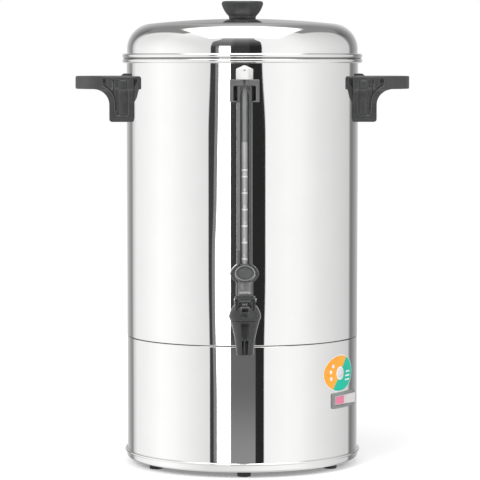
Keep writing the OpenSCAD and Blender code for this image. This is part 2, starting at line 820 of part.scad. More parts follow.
module tap_body() {
    pad_r = shank_r - 0.6;
    color("dimgray") difference() {
        union() {
            translate([0, -tap_y, 0]) difference() {
                spun() {
                    difference() {
                        spout_profile(0, spout_z, shoulder_z);
                        intersection() {
                            spout_profile(cowl_t, spout_z - 1, seat_z - seat_t);
                            band(spout_tube_r, barrel_d, spout_z - 1, seat_z);
                        }
                    }
                    band(0, collar_r, shoulder_z - 1, shoulder_z + collar_h);
                }
                spout_slot();
            }
            translate([0, 0, tap_z]) {
                along_y(shank_r, tap_y - chamber_d / 2, inner_r - 12);
                along_y(flange_r, body_r + gasket_t + flange_t, body_r + gasket_t);
            }
            translate([0, -gauge_y, tap_z]) {
                cylinder(r = pad_r, h = guard_foot_z - tap_z);
                cylinder(r = spigot_r, h = guard_foot_z - tap_z + spigot_h);
            }
        }
        translate([0, -tap_y, seat_z]) cylinder(r = chamber_d / 2, h = through);
        translate([0, -tap_y, spout_z - 1]) cylinder(r = spout_bore / 2, h = through);
        translate([0, 0, tap_z]) along_y(shank_bore / 2, tap_y, inner_r - 20);
        translate([0, -gauge_y, tap_z]) cylinder(r = riser_bore_r, h = through);
    }
}

// A gasket that fills the space between a flat flange and the tank's curved wall
module tap_gasket_outer() {
    color("white") difference() {
        translate([0, 0, tap_z]) along_y(flange_r, body_r + gasket_t, inner_r - 5);
        tank_cylinder(body_r + seat_gap);
        translate([0, 0, tap_z]) along_y(shank_r + seat_gap, tap_y, inner_r - 20);
    }
}

module tap_gasket_inner() {
    color("white") difference() {
        intersection() {
            translate([0, 0, tap_z]) along_y(flange_r, body_r + 5, inner_r - gasket_t);
            tank_cylinder(inner_r - seat_gap);
        }
        translate([0, 0, tap_z]) along_y(shank_r + seat_gap, tap_y, inner_r - 20);
    }
}

module tap_nut() {
    nut_t = 7;
    color("dimgray") translate([0, -inner_r + gasket_t, tap_z]) rotate([-90, 0, 0])
        hex_nut(2 * flange_r, shank_r + run_gap, nut_t);
}

// Profile of the bonnet's bell, with a bulging side that turns in to the barrel at its foot
module bonnet_profile() {
    rim_h = 4.6;
    bulge_r = 26;
    top = [bonnet_top_d / 2, bonnet_top_z];
    low = [bonnet_d / 2, shoulder_z + rim_h];
    c = flare_centre(top, low, bulge_r);
    polygon([
        [0, shoulder_z],
        [barrel_d / 2 + seat_gap, shoulder_z],
        [bonnet_d / 2 - 0.4, shoulder_z + 2.6],
        [bonnet_d / 2, shoulder_z + rim_h],
        [0, shoulder_z + rim_h]
    ]);
    intersection() {
        band(0, bonnet_d / 2, shoulder_z + rim_h, bonnet_top_z);
        translate(c) circle(bulge_r);
    }
}

module tap_bonnet() {
    notch_w = 6.5;
    notch_h = 3.5;
    fork_x = lever_w / 2 + lift_gap;
    color("dimgray") difference() {
        union() {
            translate([0, -tap_y, 0]) spun() bonnet_profile();
            for (side = [-1, 1]) translate([side * (fork_x + fork_t / 2), -pin_y, 0]) {
                translate([0, 0, pin_z]) along_x(fork_r, fork_t);
                translate([-fork_t / 2, -fork_r, bonnet_top_z - 5])
                    cube([fork_t, 2 * fork_r, pin_z - bonnet_top_z + 5]);
            }
        }
        translate([0, -tap_y, shoulder_z - 1]) cylinder(r = collar_r + seat_gap, h = collar_h + 1 + seat_gap);
        translate([0, -tap_y, shoulder_z]) cylinder(r = stem_d / 2 + run_gap, h = through);
        translate([0, -pin_y, pin_z]) along_x(pin_d / 2 + run_gap, through);
        translate([-notch_w / 2, -tap_y - bonnet_d / 2, bonnet_top_z - 2.5 - notch_h])
            cube([notch_w, bonnet_d / 2 - bonnet_top_d / 2 + 1.5, notch_h]);
    }
}

module lever_pin() {
    half = lever_w / 2 + lift_gap + fork_t;
    color("silver") translate([0, -pin_y, pin_z]) {
        along_x(pin_d / 2, 2 * half + 0.4);
        for (side = [-1, 1]) translate([side * (half + seat_gap + 0.4), 0, 0]) along_x(pin_d / 2 + 0.7, 0.8);
    }
}

// Side outline of the lever's neck: x to the tank, y up, the pin at the origin
module neck_outline() {
    chin = 2 * hub_r;
    polygon([
        [-hub_r, 0],
        [-hub_r, hub_r + 0.3],
        [-chin, hub_r + 1.5],
        [-chin - 2, lever_h - 10],
        [-2, lever_h - 0.5],
        [2.2, lever_h + 1],
        [1.2, lever_h / 2],
        [hub_r, 0]
    ]);
}

module tap_lever() {
    rim_t = 1.8;
    disc_t = 3.4;
    slot_half = stem_d / 2 + 0.4;
    prong_w = lever_w / 2 - slot_half;
    color("dimgray") translate([0, -pin_y, pin_z]) difference() {
        union() {
            along_x(hub_r, lever_w);
            rotate([90, 0, 90]) linear_extrude(lever_w, center = true) neck_outline();
            translate([0, -3, lever_h]) rotate([45, 0, 0]) difference() {
                translate([0, 0, -disc_t]) cylinder(r = disc_d / 2, h = disc_t);
                translate([0, 0, -1]) cylinder(r = disc_d / 2 - rim_t, h = 2);
            }
            for (side = [-1, 1])
                translate([side * (slot_half + prong_w / 2), 0, 0]) rotate([-prong_angle, 0, 0]) {
                    translate([-prong_w / 2, 0, -prong_t / 2]) cube([prong_w, lever_arm, prong_t]);
                    translate([0, lever_arm, 0]) along_x(ridge_r, prong_w);
                }
        }
        along_x(pin_d / 2 + run_gap, through);
    }
}

module valve_stem() {
    head_h = 2.5;
    flange_z = cup_z + cup_h;
    color("silver") translate([0, -tap_y, 0]) {
        translate([0, 0, cup_z + 4]) cylinder(r = stem_d / 2, h = stem_head_z - cup_z - 4 + 1);
        translate([0, 0, stem_head_z]) cylinder(r = stem_head_r, h = head_h);
        translate([0, 0, flange_z + seat_gap]) cylinder(r = cup_r - 1, h = 1.2);
    }
}

// A soft cup that closes the spout's bore
module seat_cup() {
    color("white") translate([0, -tap_y, cup_z]) difference() {
        union() {
            cylinder(r1 = cup_r - 1.5, r2 = cup_r, h = 3);
            translate([0, 0, 3]) cylinder(r = cup_r, h = 2);
            translate([0, 0, 5]) cylinder(r = cup_r - 2, h = cup_h - 5);
        }
        translate([0, 0, 4 - seat_gap]) cylinder(r = stem_d / 2 + run_gap, h = cup_h);
    }
}

// Points of one ring of the spring's wire
function spring_ring(t, sides) =
    let (a = 360 * spring_turns * t, rise = spring_top_z - spring_z - spring_wire_d)
    [for (k = [0:sides - 1])
        let (b = 360 * k / sides, r = spring_r + spring_wire_d / 2 * cos(b))
        [r * cos(a), r * sin(a), rise * t + spring_wire_d / 2 * sin(b)]];

module tap_spring() {
    sides = 6;
    rings = 8 * spring_turns + 1;
    points = [for (i = [0:rings - 1]) each spring_ring(i / (rings - 1), sides)];
    walls = [for (i = [0:rings - 2], k = [0:sides - 1], half = [0, 1])
        let (p = i * sides + k, q = i * sides + (k + 1) % sides)
        half == 0 ? [p, p + sides, q + sides] : [p, q + sides, q]];
    last = (rings - 1) * sides;
    start = [for (k = [1:sides - 2]) [0, k, k + 1]];
    finish = [for (k = [1:sides - 2]) [last, last + k + 1, last + k]];
    color("silver") translate([0, -tap_y, spring_z + spring_wire_d / 2])
        polyhedron(points, concat(walls, start, finish));
}

module lid_shell() {
    ledge_z = lid_bead_z - sheet / 2;
    color("gainsboro") difference() {
        spun() {
            translate([0, crown_c_z])
                arc_band(lid_crown_r - sheet, lid_crown_r, shoulder_angle, 90, $fn = 240);
            translate([shoulder_c_r, shoulder_c_z])
                arc_band(lid_shoulder_r - sheet, lid_shoulder_r, 0, shoulder_angle);
            band(lid_r - sheet, lid_r, ledge_z, shoulder_c_z);
            translate([bead_centre_r, lid_bead_z]) circle(bead_r);
            band(lid_plug_r - sheet, bead_centre_r, ledge_z, ledge_z + sheet);
            band(lid_plug_r - sheet, lid_plug_r, rim_z - lid_skirt_h, ledge_z + sheet);
        }
        translate([0, 0, crown_z - 20]) cylinder(r = knob_screw_d / 2 + seat_gap, h = 40);
    }
}

// Profile of the knob: a short foot under a bowl-shaped side, with a round edge and a flat top
module knob_profile() {
    bowl_c_r = knob_r - knob_bowl_r;
    edge_z = knob_h - knob_edge_r;
    intersection() {
        union() {
            translate([bowl_c_r, edge_z]) arc_band(0, knob_bowl_r, -90, 0);
            band(0, bowl_c_r, edge_z - knob_bowl_r, edge_z);
            translate([knob_r - knob_edge_r, edge_z]) arc_band(0, knob_edge_r, 0, 90);
            band(0, knob_r - knob_edge_r, edge_z, knob_h);
            band(0, knob_foot_d / 2, 0, knob_h / 2);
        }
        square([knob_d, knob_h]);
    }
}

module lid_knob() {
    color("dimgray") translate([0, 0, crown_z]) difference() {
        spun() knob_profile();
        translate([0, 0, -1]) cylinder(r = knob_screw_d / 2 + run_gap, h = knob_screw_depth + 1.5);
    }
}

module knob_washer() {
    color("white") translate([0, 0, crown_z - sheet - seat_gap - washer_t]) difference() {
        cylinder(r = washer_d / 2, h = washer_t);
        translate([0, 0, -1]) cylinder(r = knob_screw_d / 2 + run_gap, h = washer_t + 2);
    }
}

module knob_screw() {
    head_h = 2.4;
    head_z = crown_z - sheet - seat_gap - washer_t - head_h;
    color("silver") {
        translate([0, 0, head_z]) cylinder(r = knob_screw_d, h = head_h);
        translate([0, 0, head_z]) cylinder(r = knob_screw_d / 2, h = crown_z + knob_screw_depth - head_z);
    }
}

// Rings of holes through a round screen, from an inner radius to an outer one
module screen_holes(r_in, r_out, rings, z, h) {
    for (k = [0:rings - 1]) {
        r = r_in + (r_out - r_in) * k / (rings - 1);
        count = 6 * (k + 2);
        for (i = [1:count]) rotate([0, 0, (i + k / 2) * 360 / count]) translate([r, 0, z])
            cylinder(r = screen_hole_d / 2, h = h);
    }
}

module spreader() {
    low_z = spreader_z - spreader_dish;
    color("silver") difference() {
        spun() {
            band(sleeve_r, spreader_dish_r, low_z, low_z + sheet);
            band(spreader_dish_r - sheet, spreader_dish_r, low_z, spreader_z + sheet);
            band(spreader_dish_r - sheet, basket_r + 4, spreader_z, spreader_z + sheet);
            band(sleeve_r, sleeve_r + sheet, low_z, low_z + 4);
        }
        screen_holes(18, spreader_dish_r - 8, 4, low_z - 1, sheet + 2);
    }
}

module basket_wall() {
    color("silver") spun() {
        band(basket_r - sheet, basket_r, basket_z, basket_top_z);
        band(basket_r - basket_lip, basket_r, basket_z, basket_z + sheet);
        translate([basket_r + basket_bead_r - 0.5, basket_top_z]) circle(basket_bead_r);
    }
}

module basket_screen() {
    color("silver") difference() {
        spun() {
            band(sleeve_r, basket_r - sheet - seat_gap, screen_z, screen_z + sheet);
            band(sleeve_r, sleeve_r + sheet, screen_z, screen_z + sleeve_h);
        }
        screen_holes(16, basket_r - basket_lip - 4, 5, screen_z - 1, sheet + 2);
    }
}

module pump_tube() {
    color("silver") difference() {
        translate([0, 0, tube_z]) cylinder(r = tube_r, h = tube_top_z - tube_z);
        translate([0, 0, tube_z - 1]) cylinder(r = tube_r - tube_wall, h = tank_h);
    }
}

// A bell-shaped foot over the heater well, with a lip that keeps the valve disc in
module pump_bell() {
    foot_z = 3;
    neck_r = tube_r + 1.2;
    bore_r = tube_r + seat_gap;
    notch = 5;
    color("silver") translate([0, 0, bell_z]) difference() {
        spun() {
            polygon([
                [bell_r - sheet, 0],
                [bell_r, 0],
                [bell_r, foot_z],
                [neck_r, bell_h],
                [neck_r, bell_h + bell_neck_h],
                [bore_r, bell_h + bell_neck_h],
                [bore_r, bell_h - 0.1],
                [tube_r - tube_wall, bell_h - 0.1],
                [tube_r - tube_wall, bell_h - 1.2],
                [bell_r - sheet, foot_z - 0.4]
            ]);
            band(bell_r - bell_lip, bell_r, 0, sheet);
        }
        for (i = [0:5]) rotate([0, 0, 60 * i]) translate([bell_r - bell_lip / 2, -notch / 2, -1])
            cube([bell_lip, notch, foot_z]);
    }
}

module pump_collar() {
    color("silver") translate([0, 0, screen_z - lift_gap - collar_t]) difference() {
        cylinder(r = tube_r + 5, h = collar_t);
        translate([0, 0, -1]) cylinder(r = tube_r + run_gap, h = collar_t + 2);
    }
}

module pump_valve() {
    color("silver") translate([0, 0, valve_disc_z]) cylinder(r = bell_r - bell_lip + 3, h = valve_disc_t);
}

module brew_heater() {
    color("gray") translate([0, 0, well_under_z - heater_t]) difference() {
        union() {
            cylinder(r = well_r - 2, h = heater_t);
            rotate_extrude() translate([well_r - 10, 0]) circle(heater_ring_r);
        }
        translate([0, 0, -20]) cylinder(r = rod_d / 2 + seat_gap, h = 40);
    }
}

module heater_nut() {
    color("silver") translate([0, 0, well_under_z - heater_t - rod_nut_h])
        hex_nut(nut_d, rod_d / 2 + run_gap, rod_nut_h);
}

module thermostat() {
    h = 9;
    color("gainsboro") around(-70, well_r + 22, seam_z - seat_gap - h) {
        cylinder(r = 8, h = h);
        translate([0, 0, h - 1]) cylinder(r = 11, h = 1);
    }
}

module thermal_cutout() {
    h = 8;
    color("gainsboro") around(110, well_r + 22, seam_z - seat_gap - h) {
        cylinder(r = 6, h = h);
        translate([0, 0, h - 1]) cylinder(r = 9, h = 1);
    }
}

// The switch's body behind its bezel, grown all round, from its depth to a height in front of the skirt
module switch_body(grow, front) {
    w = 2 * (slot_half_w + switch_wall + grow);
    h = rocker_h + 2 * (lift_gap + switch_wall + grow);
    translate([-w / 2, -front, -h / 2]) cube([w, front + switch_depth, h]);
}

module switch_housing() {
    color("darkslategray") difference() {
        intersection() {
            union() {
                difference() {
                    around(switch_angle, skirt_r, switch_z) translate([-switch_w / 2, 8, -switch_h / 2])
                        rotate([90, 0, 0]) linear_extrude(16) round_rect(switch_w, switch_h, 2);
                    tank_cylinder(skirt_r + seat_gap);
                }
                around(switch_angle, skirt_r, switch_z) switch_body(0, 6);
            }
            tank_cylinder(skirt_r + bezel_t);
        }
        around(switch_angle, skirt_r, switch_z) {
            translate([-slot_half_w, -10, -rocker_h / 2 - lift_gap])
                cube([2 * slot_half_w, 10 + switch_depth - switch_wall, rocker_h + 2 * lift_gap]);
            translate([0, -rocker_pivot, 0])
                cylinder(r = trunnion_r + run_gap, h = rocker_h + 2 * switch_wall, center = true);
        }
    }
}

// Plan outline of the rocker, its left half pressed in and its right half standing out
module rocker_outline() {
    edge_t = 2.5;
    polygon([
        [-rocker_w / 2, -rocker_mid + rocker_sink],
        [0, -rocker_mid],
        [rocker_w / 2, -rocker_mid - rocker_rise],
        [rocker_w / 2, -rocker_mid - rocker_rise + edge_t],
        [5, -rocker_pivot + 3],
        [-5, -rocker_pivot + 3],
        [-rocker_w / 2, -rocker_mid + rocker_sink + edge_t]
    ]);
}

module switch_rocker() {
    color("pink") around(switch_angle, skirt_r, switch_z) {
        translate([0, 0, -rocker_h / 2]) linear_extrude(rocker_h) rocker_outline();
        translate([0, -rocker_pivot, 0])
            cylinder(r = trunnion_r, h = rocker_h + 2 * switch_wall - 0.4, center = true);
    }
}

module indicator_lens() {
    flange_t = 1.4;
    color("lightgray") difference() {
        around(lamp_angle, skirt_r, lamp_z) rotate([90, 0, 0]) {
            translate([0, 0, -0.5]) cylinder(r = lamp_d / 2, h = flange_t + 0.5);
            translate([0, 0, -8]) cylinder(r = lamp_d / 2 - 1, h = 8);
            translate([0, 0, flange_t]) intersection() {
                translate([0, 0, -lamp_d / 2]) sphere(r = lamp_d / 2 * 1.22);
                cylinder(r = lamp_d / 2 - 0.3, h = lamp_d);
            }
        }
        difference() {
            tank_cylinder(skirt_r + seat_gap);
            around(lamp_angle, skirt_r, lamp_z) rotate([90, 0, 0])
                cylinder(r = lamp_d / 2 - 1, h = 40, center = true);
        }
    }
}

// The inlet's body behind its flange, grown all round, from its depth to a height in front of the skirt
module inlet_body(grow, front) {
    wall = 2;
    w = socket_w + 2 * (wall + grow);
    h = socket_h + 2 * (wall + grow);
    translate([-w / 2, -front, -h / 2]) cube([w, front + socket_depth, h]);
}

module power_inlet() {
    flange_w = socket_w + 4 + 2 * inlet_flange;
    flange_h = socket_h + 4 + 2 * inlet_flange;
    color("black") difference() {
        union() {
            difference() {
                around(180, skirt_r, inlet_z) translate([-flange_w / 2, 10 - inlet_t, -flange_h / 2])
                    rotate([90, 0, 0]) linear_extrude(10) round_rect(flange_w, flange_h, 4);
                tank_cylinder(skirt_r + seat_gap);
            }
            around(180, skirt_r, inlet_z) inlet_body(0, inlet_t - 0.5);
        }
        around(180, skirt_r, inlet_z) translate([-socket_w / 2, -inlet_t - 1, -socket_h / 2])
            cube([socket_w, inlet_t + 1 + socket_depth - 3, socket_h]);
        around(180, skirt_r, inlet_z) inlet_pin_set(seat_gap, 10);
    }
}

// Three flat pins: two side by side and the earth pin above them
module inlet_pin_set(grow, tail) {
    pin_h = 4;
    length = socket_depth - 5;
    for (p = [[-inlet_pin_gap, -2], [inlet_pin_gap, -2], [0, 2]])
        translate([p[0] - pin_thick / 2 - grow, socket_depth - 3 - length, p[1] - pin_h / 2 - grow])
            cube([pin_thick + 2 * grow, length + tail, pin_h + 2 * grow]);
}

module inlet_pins() {
    color("silver") around(180, skirt_r, inlet_z) inlet_pin_set(0, 9);
}

tank_shell();
tank_floor();
base_skirt();
base_ring();
bottom_plate();
centre_rod();
base_nut();
for (i = [1:foot_count]) foot(i);
left_handle();
right_handle();
for (i = [1:4]) handle_screw(i);
gauge_guard();
gauge_holder();
holder_screw();
sight_glass();
gauge_cap();
glass_seal_low();
glass_seal_top();
tap_body();
tap_bonnet();
tap_nut();
tap_gasket_outer();
tap_gasket_inner();
lever_pin();
tap_spring();
tap_lever();
valve_stem();
seat_cup();
lid_shell();
lid_knob();
knob_screw();
knob_washer();
spreader();
basket_wall();
basket_screen();
pump_tube();
pump_bell();
pump_collar();
pump_valve();
brew_heater();
heater_nut();
thermostat();
thermal_cutout();
switch_housing();
switch_rocker();
indicator_lens();
power_inlet();
inlet_pins();
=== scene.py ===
import json
import math

import bmesh
import bpy
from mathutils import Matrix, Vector

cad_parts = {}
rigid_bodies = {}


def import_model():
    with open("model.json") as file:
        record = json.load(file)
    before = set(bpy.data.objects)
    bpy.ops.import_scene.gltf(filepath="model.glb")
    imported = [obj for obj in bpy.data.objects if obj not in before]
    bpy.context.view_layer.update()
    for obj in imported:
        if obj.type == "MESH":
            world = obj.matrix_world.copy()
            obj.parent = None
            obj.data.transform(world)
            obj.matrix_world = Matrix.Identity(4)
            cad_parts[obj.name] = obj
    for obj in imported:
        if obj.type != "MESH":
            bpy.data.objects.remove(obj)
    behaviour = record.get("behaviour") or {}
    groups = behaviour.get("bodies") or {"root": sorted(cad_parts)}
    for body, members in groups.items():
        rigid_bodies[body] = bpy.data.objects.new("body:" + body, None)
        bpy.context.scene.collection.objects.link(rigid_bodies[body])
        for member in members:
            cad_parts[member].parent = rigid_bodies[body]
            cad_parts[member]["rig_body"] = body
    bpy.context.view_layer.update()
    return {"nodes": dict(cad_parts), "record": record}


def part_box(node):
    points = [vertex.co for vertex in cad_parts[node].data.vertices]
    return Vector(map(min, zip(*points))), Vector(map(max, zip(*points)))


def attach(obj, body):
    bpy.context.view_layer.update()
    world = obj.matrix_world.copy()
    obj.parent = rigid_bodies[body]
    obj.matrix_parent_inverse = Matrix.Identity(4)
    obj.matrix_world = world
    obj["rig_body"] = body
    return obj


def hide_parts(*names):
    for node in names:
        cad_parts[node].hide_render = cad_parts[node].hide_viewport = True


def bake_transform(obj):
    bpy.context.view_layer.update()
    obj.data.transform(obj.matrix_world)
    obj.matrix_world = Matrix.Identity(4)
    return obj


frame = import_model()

nodes = frame["nodes"]
body_of = {name: obj["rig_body"] for name, obj in nodes.items()}
slot_of = {row["node"]: row["material_slot"] for row in frame["record"]["subparts"]}
MM = 0.001

# Sizes in millimetres, as in the part's source. Heights are above the table, and angles are in
# degrees round the urn, from the tap towards +X.
SHEET = 1.0
BODY_R, INNER_R, SKIRT_R = 130.0, 129.0, 129.6
SEAM_Z, RIM_Z, CROWN_Z = 144.5, 455.5, 499.8
SKIRT_FOOT, SKIRT_TOP, SKIRT_FOLD_R = 9.8, 143.9, 117.6
# Radii of the dark ring of painted shade in the seam between the tank and the base
SEAM_SHADE_R, SEAM_SHADE_OUT_R = 128.95, 129.25
FOOT_H = 6.5
TRIM_H, TRIM_R, TRIM_LEAN, TRIM_INNER_R = 10.2, 131.3, 0.8, 121.0
TRIM_ROLL_R, TRIM_LIP_R, TRIM_FLOOR = 3.2, 1.4, 1.2
BEAD_R, BEAD_C_R = 2.6, 132.2
TANK_BEAD_Z, LID_BEAD_Z = 452.9, 458.4
LID_R, SHOULDER_R, CROWN_R = 129.5, 28.5, 960.0
LID_PLUG_R, LID_FOOT_Z = 128.2, 447.5
KNOB_R, KNOB_H, KNOB_FOOT_R, KNOB_DOME = 23.3, 20.0, 15.1, 0.9
KNOB_EDGE_R, KNOB_SIDE_R, KNOB_LEAN = 3.0, 28.0, 15.0
HANDLE_Z = 436.0
GAUGE_Y, GLASS_R = 144.0, 4.5
PIN_Y, PIN_Z = 180.0, 199.0
SWITCH_ANGLE, SWITCH_Z = 60.0, 78.5
LAMP_ANGLE, LAMP_Z = 55.5, 108.5
INLET_ANGLE, INLET_Z = 180.0, 56.0
ROUND_STEPS, PATCH_STEP, PRINT_T = 288, 1.5, 0.05


# Materials

NOISE_LOW, NOISE_HIGH = 0.3, 0.7


def material(name, roughness, metallic=0.0, specular=0.5):
    """A new material, its tree and its shader."""
    made = bpy.data.materials.new(name)
    made.use_nodes = True
    shader = made.node_tree.nodes["Principled BSDF"]
    shader.inputs["Roughness"].default_value = roughness
    shader.inputs["Metallic"].default_value = metallic
    shader.inputs["Specular IOR Level"].default_value = specular
    return made, made.node_tree, shader


def noise(tree, scale, detail=4.0, stretch=(1, 1, 1)):
    """Noise in the object's own space."""
    place = tree.nodes.new("ShaderNodeTexCoord")
    mapping = tree.nodes.new("ShaderNodeMapping")
    mapping.inputs["Scale"].default_value = stretch
    texture = tree.nodes.new("ShaderNodeTexNoise")
    texture.inputs["Scale"].default_value = scale
    texture.inputs["Detail"].default_value = detail
    tree.links.new(place.outputs["Object"], mapping.inputs["Vector"])
    tree.links.new(mapping.outputs["Vector"], texture.inputs["Vector"])
    return texture.outputs["Fac"]


def ramp(tree, fac, stops):
    """A colour ramp with (position, colour) stops."""
    node = tree.nodes.new("ShaderNodeValToRGB")
    while len(node.color_ramp.elements) < len(stops):
        node.color_ramp.elements.new(0.5)
    for element, (position, colour) in zip(node.color_ramp.elements, stops):
        element.position = position
        element.color = (*colour, 1)
    tree.links.new(fac, node.inputs["Fac"])
    return node.outputs["Color"]


def map_range(tree, value, from_low, from_high, to_low, to_high):
    """A value mapped from one range to another."""
    node = tree.nodes.new("ShaderNodeMapRange")
    node.inputs["From Min"].default_value = from_low
    node.inputs["From Max"].default_value = from_high
    node.inputs["To Min"].default_value = to_low
    node.inputs["To Max"].default_value = to_high
    tree.links.new(value, node.inputs["Value"])
    return node.outputs["Result"]


def bump(tree, shader, fac, strength, distance):
    """Bumps on a shader's surface."""
    node = tree.nodes.new("ShaderNodeBump")
    node.inputs["Strength"].default_value = strength
    node.inputs["Distance"].default_value = distance
    tree.links.new(fac, node.inputs["Height"])
    tree.links.new(node.outputs["Normal"], shader.inputs["Normal"])


def grain(name, dark, light, rough, scale, depth, metallic=0.0, stretch=(1, 1, 1), specular=0.5):
    """A material whose gloss and surface vary with a fine noise and whose colour with a broad one.

    rough is the lowest and highest roughness, and depth the height of the bumps in metres.
    """
    made, tree, shader = material(name, rough[0], metallic, specular)
    fine = noise(tree, scale, 5.0, stretch)
    broad = noise(tree, scale / 30, 3.0)
    colour = ramp(tree, broad, [(NOISE_LOW, dark), (NOISE_HIGH, light)])
    tree.links.new(colour, shader.inputs["Base Color"])
    roughness = map_range(tree, fine, NOISE_LOW, NOISE_HIGH, *rough)
    tree.links.new(roughness, shader.inputs["Roughness"])
    bump(tree, shader, fine, 0.4, depth)
    return made


steel = grain("polished_steel", (0.915, 0.915, 0.91), (0.935, 0.935, 0.93), (0.02, 0.04),
              900, 0.0000005, metallic=1.0, stretch=(1, 1, 0.15))
satin = grain("satin_steel", (0.70, 0.70, 0.69), (0.78, 0.78, 0.77), (0.22, 0.34),
              1400, 0.00001, metallic=1.0, stretch=(1, 1, 0.1))
# Dark steel for the crevice between the lid's and the tank's beads: painted shade
crevice_shade_steel = grain("painted_crevice_shade_steel", (0.16, 0.16, 0.16), (0.20, 0.20, 0.20), (0.4, 0.5),
                   900, 0.00001, metallic=1.0)
zinc = grain("zinc_hardware", (0.55, 0.55, 0.54), (0.66, 0.66, 0.64), (0.28, 0.42),
             1500, 0.00002, metallic=1.0)
alloy = grain("cast_alloy", (0.52, 0.52, 0.52), (0.62, 0.62, 0.61), (0.45, 0.6),
              900, 0.00008, metallic=1.0)
plastic = grain("dark_moulded_plastic", (0.026, 0.0265, 0.0275), (0.036, 0.0365, 0.0375),
                (0.09, 0.15), 2200, 0.00001)
matt_plastic = grain("matt_moulded_plastic", (0.031, 0.0315, 0.0325), (0.042, 0.0425, 0.044),
                     (0.38, 0.48), 2200, 0.00002, specular=0.6)
# Satin copy of the dark plastic, a little lighter: real gloss, and a lighter tone that is painted
# light
satin_painted_light_plastic = grain("satin_plastic_painted_lighter", (0.044, 0.045, 0.046), (0.056, 0.057, 0.059),
                      (0.16, 0.26), 2200, 0.00001, specular=1.0)
# Lighter copy of the dark plastic: painted light on the lever's toe and the gauge's holder
painted_light_plastic = grain("lighter_plastic_painted_light", (0.10, 0.10, 0.103), (0.13, 0.13, 0.133),
                     (0.2, 0.3), 2200, 0.00001, specular=1.0)
pad_plastic = grain("thumb_pad_plastic", (0.030, 0.031, 0.032), (0.042, 0.043, 0.044),
                    (0.55, 0.68), 1600, 0.00004)
knob_plastic = grain("knob_plastic", (0.022, 0.0225, 0.0235), (0.030, 0.0305, 0.0315),
                     (0.34, 0.48), 2200, 0.00003)
bezel_plastic = grain("grey_moulded_plastic", (0.22, 0.225, 0.225), (0.27, 0.275, 0.275),
                      (0.3, 0.42), 2000, 0.00003)
black = grain("black_moulded_plastic", (0.028, 0.028, 0.03), (0.036, 0.036, 0.038),
              (0.36, 0.5), 2200, 0.00003)
rubber = grain("dark_rubber", (0.024, 0.024, 0.024), (0.034, 0.034, 0.034), (0.62, 0.8),
               1800, 0.00006)
pale_rubber = grain("pale_silicone", (0.62, 0.61, 0.59), (0.7, 0.69, 0.67), (0.42, 0.55),
                    1500, 0.00004)
paint = grain("grey_paint", (0.26, 0.26, 0.265), (0.32, 0.32, 0.325), (0.4, 0.55),
              1300, 0.00004)
cap_white = grain("white_cap_plastic", (0.62, 0.62, 0.61), (0.68, 0.68, 0.67), (0.3, 0.42),
                  1500, 0.00001)
rocker_white = grain("pale_rocker_plastic", (0.66, 0.63, 0.63), (0.72, 0.69, 0.69),
                     (0.18, 0.28), 1500, 0.00001)
lens_red = grain("pink_rocker_lens", (0.80, 0.16, 0.30), (0.88, 0.24, 0.38), (0.12, 0.22),
                 900, 0.00001)
lens_clear = grain("pale_lamp_lens", (0.62, 0.58, 0.62), (0.74, 0.70, 0.74), (0.1, 0.2),
                   900, 0.00001)
ink_amber = grain("amber_ink", (0.92, 0.38, 0.04), (0.99, 0.45, 0.06), (0.32, 0.42),
                  900, 0.000004, specular=0.2)
ink_teal = grain("teal_ink", (0.0, 0.46, 0.32), (0.01, 0.55, 0.38), (0.32, 0.42),
                 900, 0.000004, specular=0.2)
ink_white = grain("white_ink", (0.80, 0.80, 0.80), (0.86, 0.86, 0.86), (0.32, 0.42),
                  900, 0.000004)
scale_grey = grain("grey_scale_film", (0.44, 0.44, 0.44), (0.52, 0.52, 0.52), (0.25, 0.35),
                   900, 0.000004)

glass, glass_tree, glass_shader = material("clear_tube", 0.04)
glass_shader.inputs["Transmission Weight"].default_value = 0.45
glass_shader.inputs["IOR"].default_value = 1.47
glass_colour = ramp(glass_tree, noise(glass_tree, 60),
                    [(NOISE_LOW, (0.42, 0.43, 0.43)), (NOISE_HIGH, (0.50, 0.51, 0.51))])
glass_tree.links.new(glass_colour, glass_shader.inputs["Base Color"])

SLOT_MATERIAL = {
    "polished_steel": steel, "inner_steel": satin, "hardware": zinc, "dark_plastic": plastic,
    "black_plastic": black, "rubber": rubber, "base_plate": paint, "glass_tube": glass,
    "cap_plastic": cap_white, "heater_alloy": alloy, "rocker_red": rocker_white,
    "lamp_lens": lens_clear,
}
PALE_SEALS = ("tap_gasket_outer", "tap_gasket_inner", "seat_cup", "knob_washer",
              "glass_seal_low", "glass_seal_top")
for name, node in nodes.items():
    node.data.materials.clear()
    node.data.materials.append(pale_rubber if name in PALE_SEALS
                               else SLOT_MATERIAL[slot_of[name]])


# How pieces are made

def add_object(name, data):
    """A new object in the scene."""
    obj = bpy.data.objects.new(name, data)
    bpy.context.scene.collection.objects.link(obj)
    return obj


def dress_mesh(obj, stuff, angle=35.0, replaced=()):
    """Gives a piece its material and its smooth shading, and hides the nodes it stands for."""
    mesh = obj.data
    mesh.materials.clear()
    mesh.materials.append(stuff)
    for polygon in mesh.polygons:
        polygon.use_smooth = True
    mesh.set_sharp_from_angle(angle=math.radians(angle))
    if replaced:
        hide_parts(*replaced)
    return obj


def finish_mesh(obj, body, stuff, angle=35.0, replaced=()):
    """Dresses a piece that rides on one body."""
    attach(obj, body)
    return dress_mesh(obj, stuff, angle, replaced)


def new_mesh(name, verts, faces):
    """A mesh object from millimetre points, its normals outwards."""
    mesh = bpy.data.meshes.new(name)
    mesh.from_pydata([Vector(v) * MM for v in verts], [], faces)
    mesh.validate()
    work = bmesh.new()
    work.from_mesh(mesh)
    bmesh.ops.recalc_face_normals(work, faces=work.faces)
    work.to_mesh(mesh)
    work.free()
    return add_object(name, mesh)


def piece(name, verts, faces, body, stuff, angle=35.0, replaced=()):
    """A new piece from millimetre points."""
    return finish_mesh(new_mesh(name, verts, faces), body, stuff, angle, replaced)


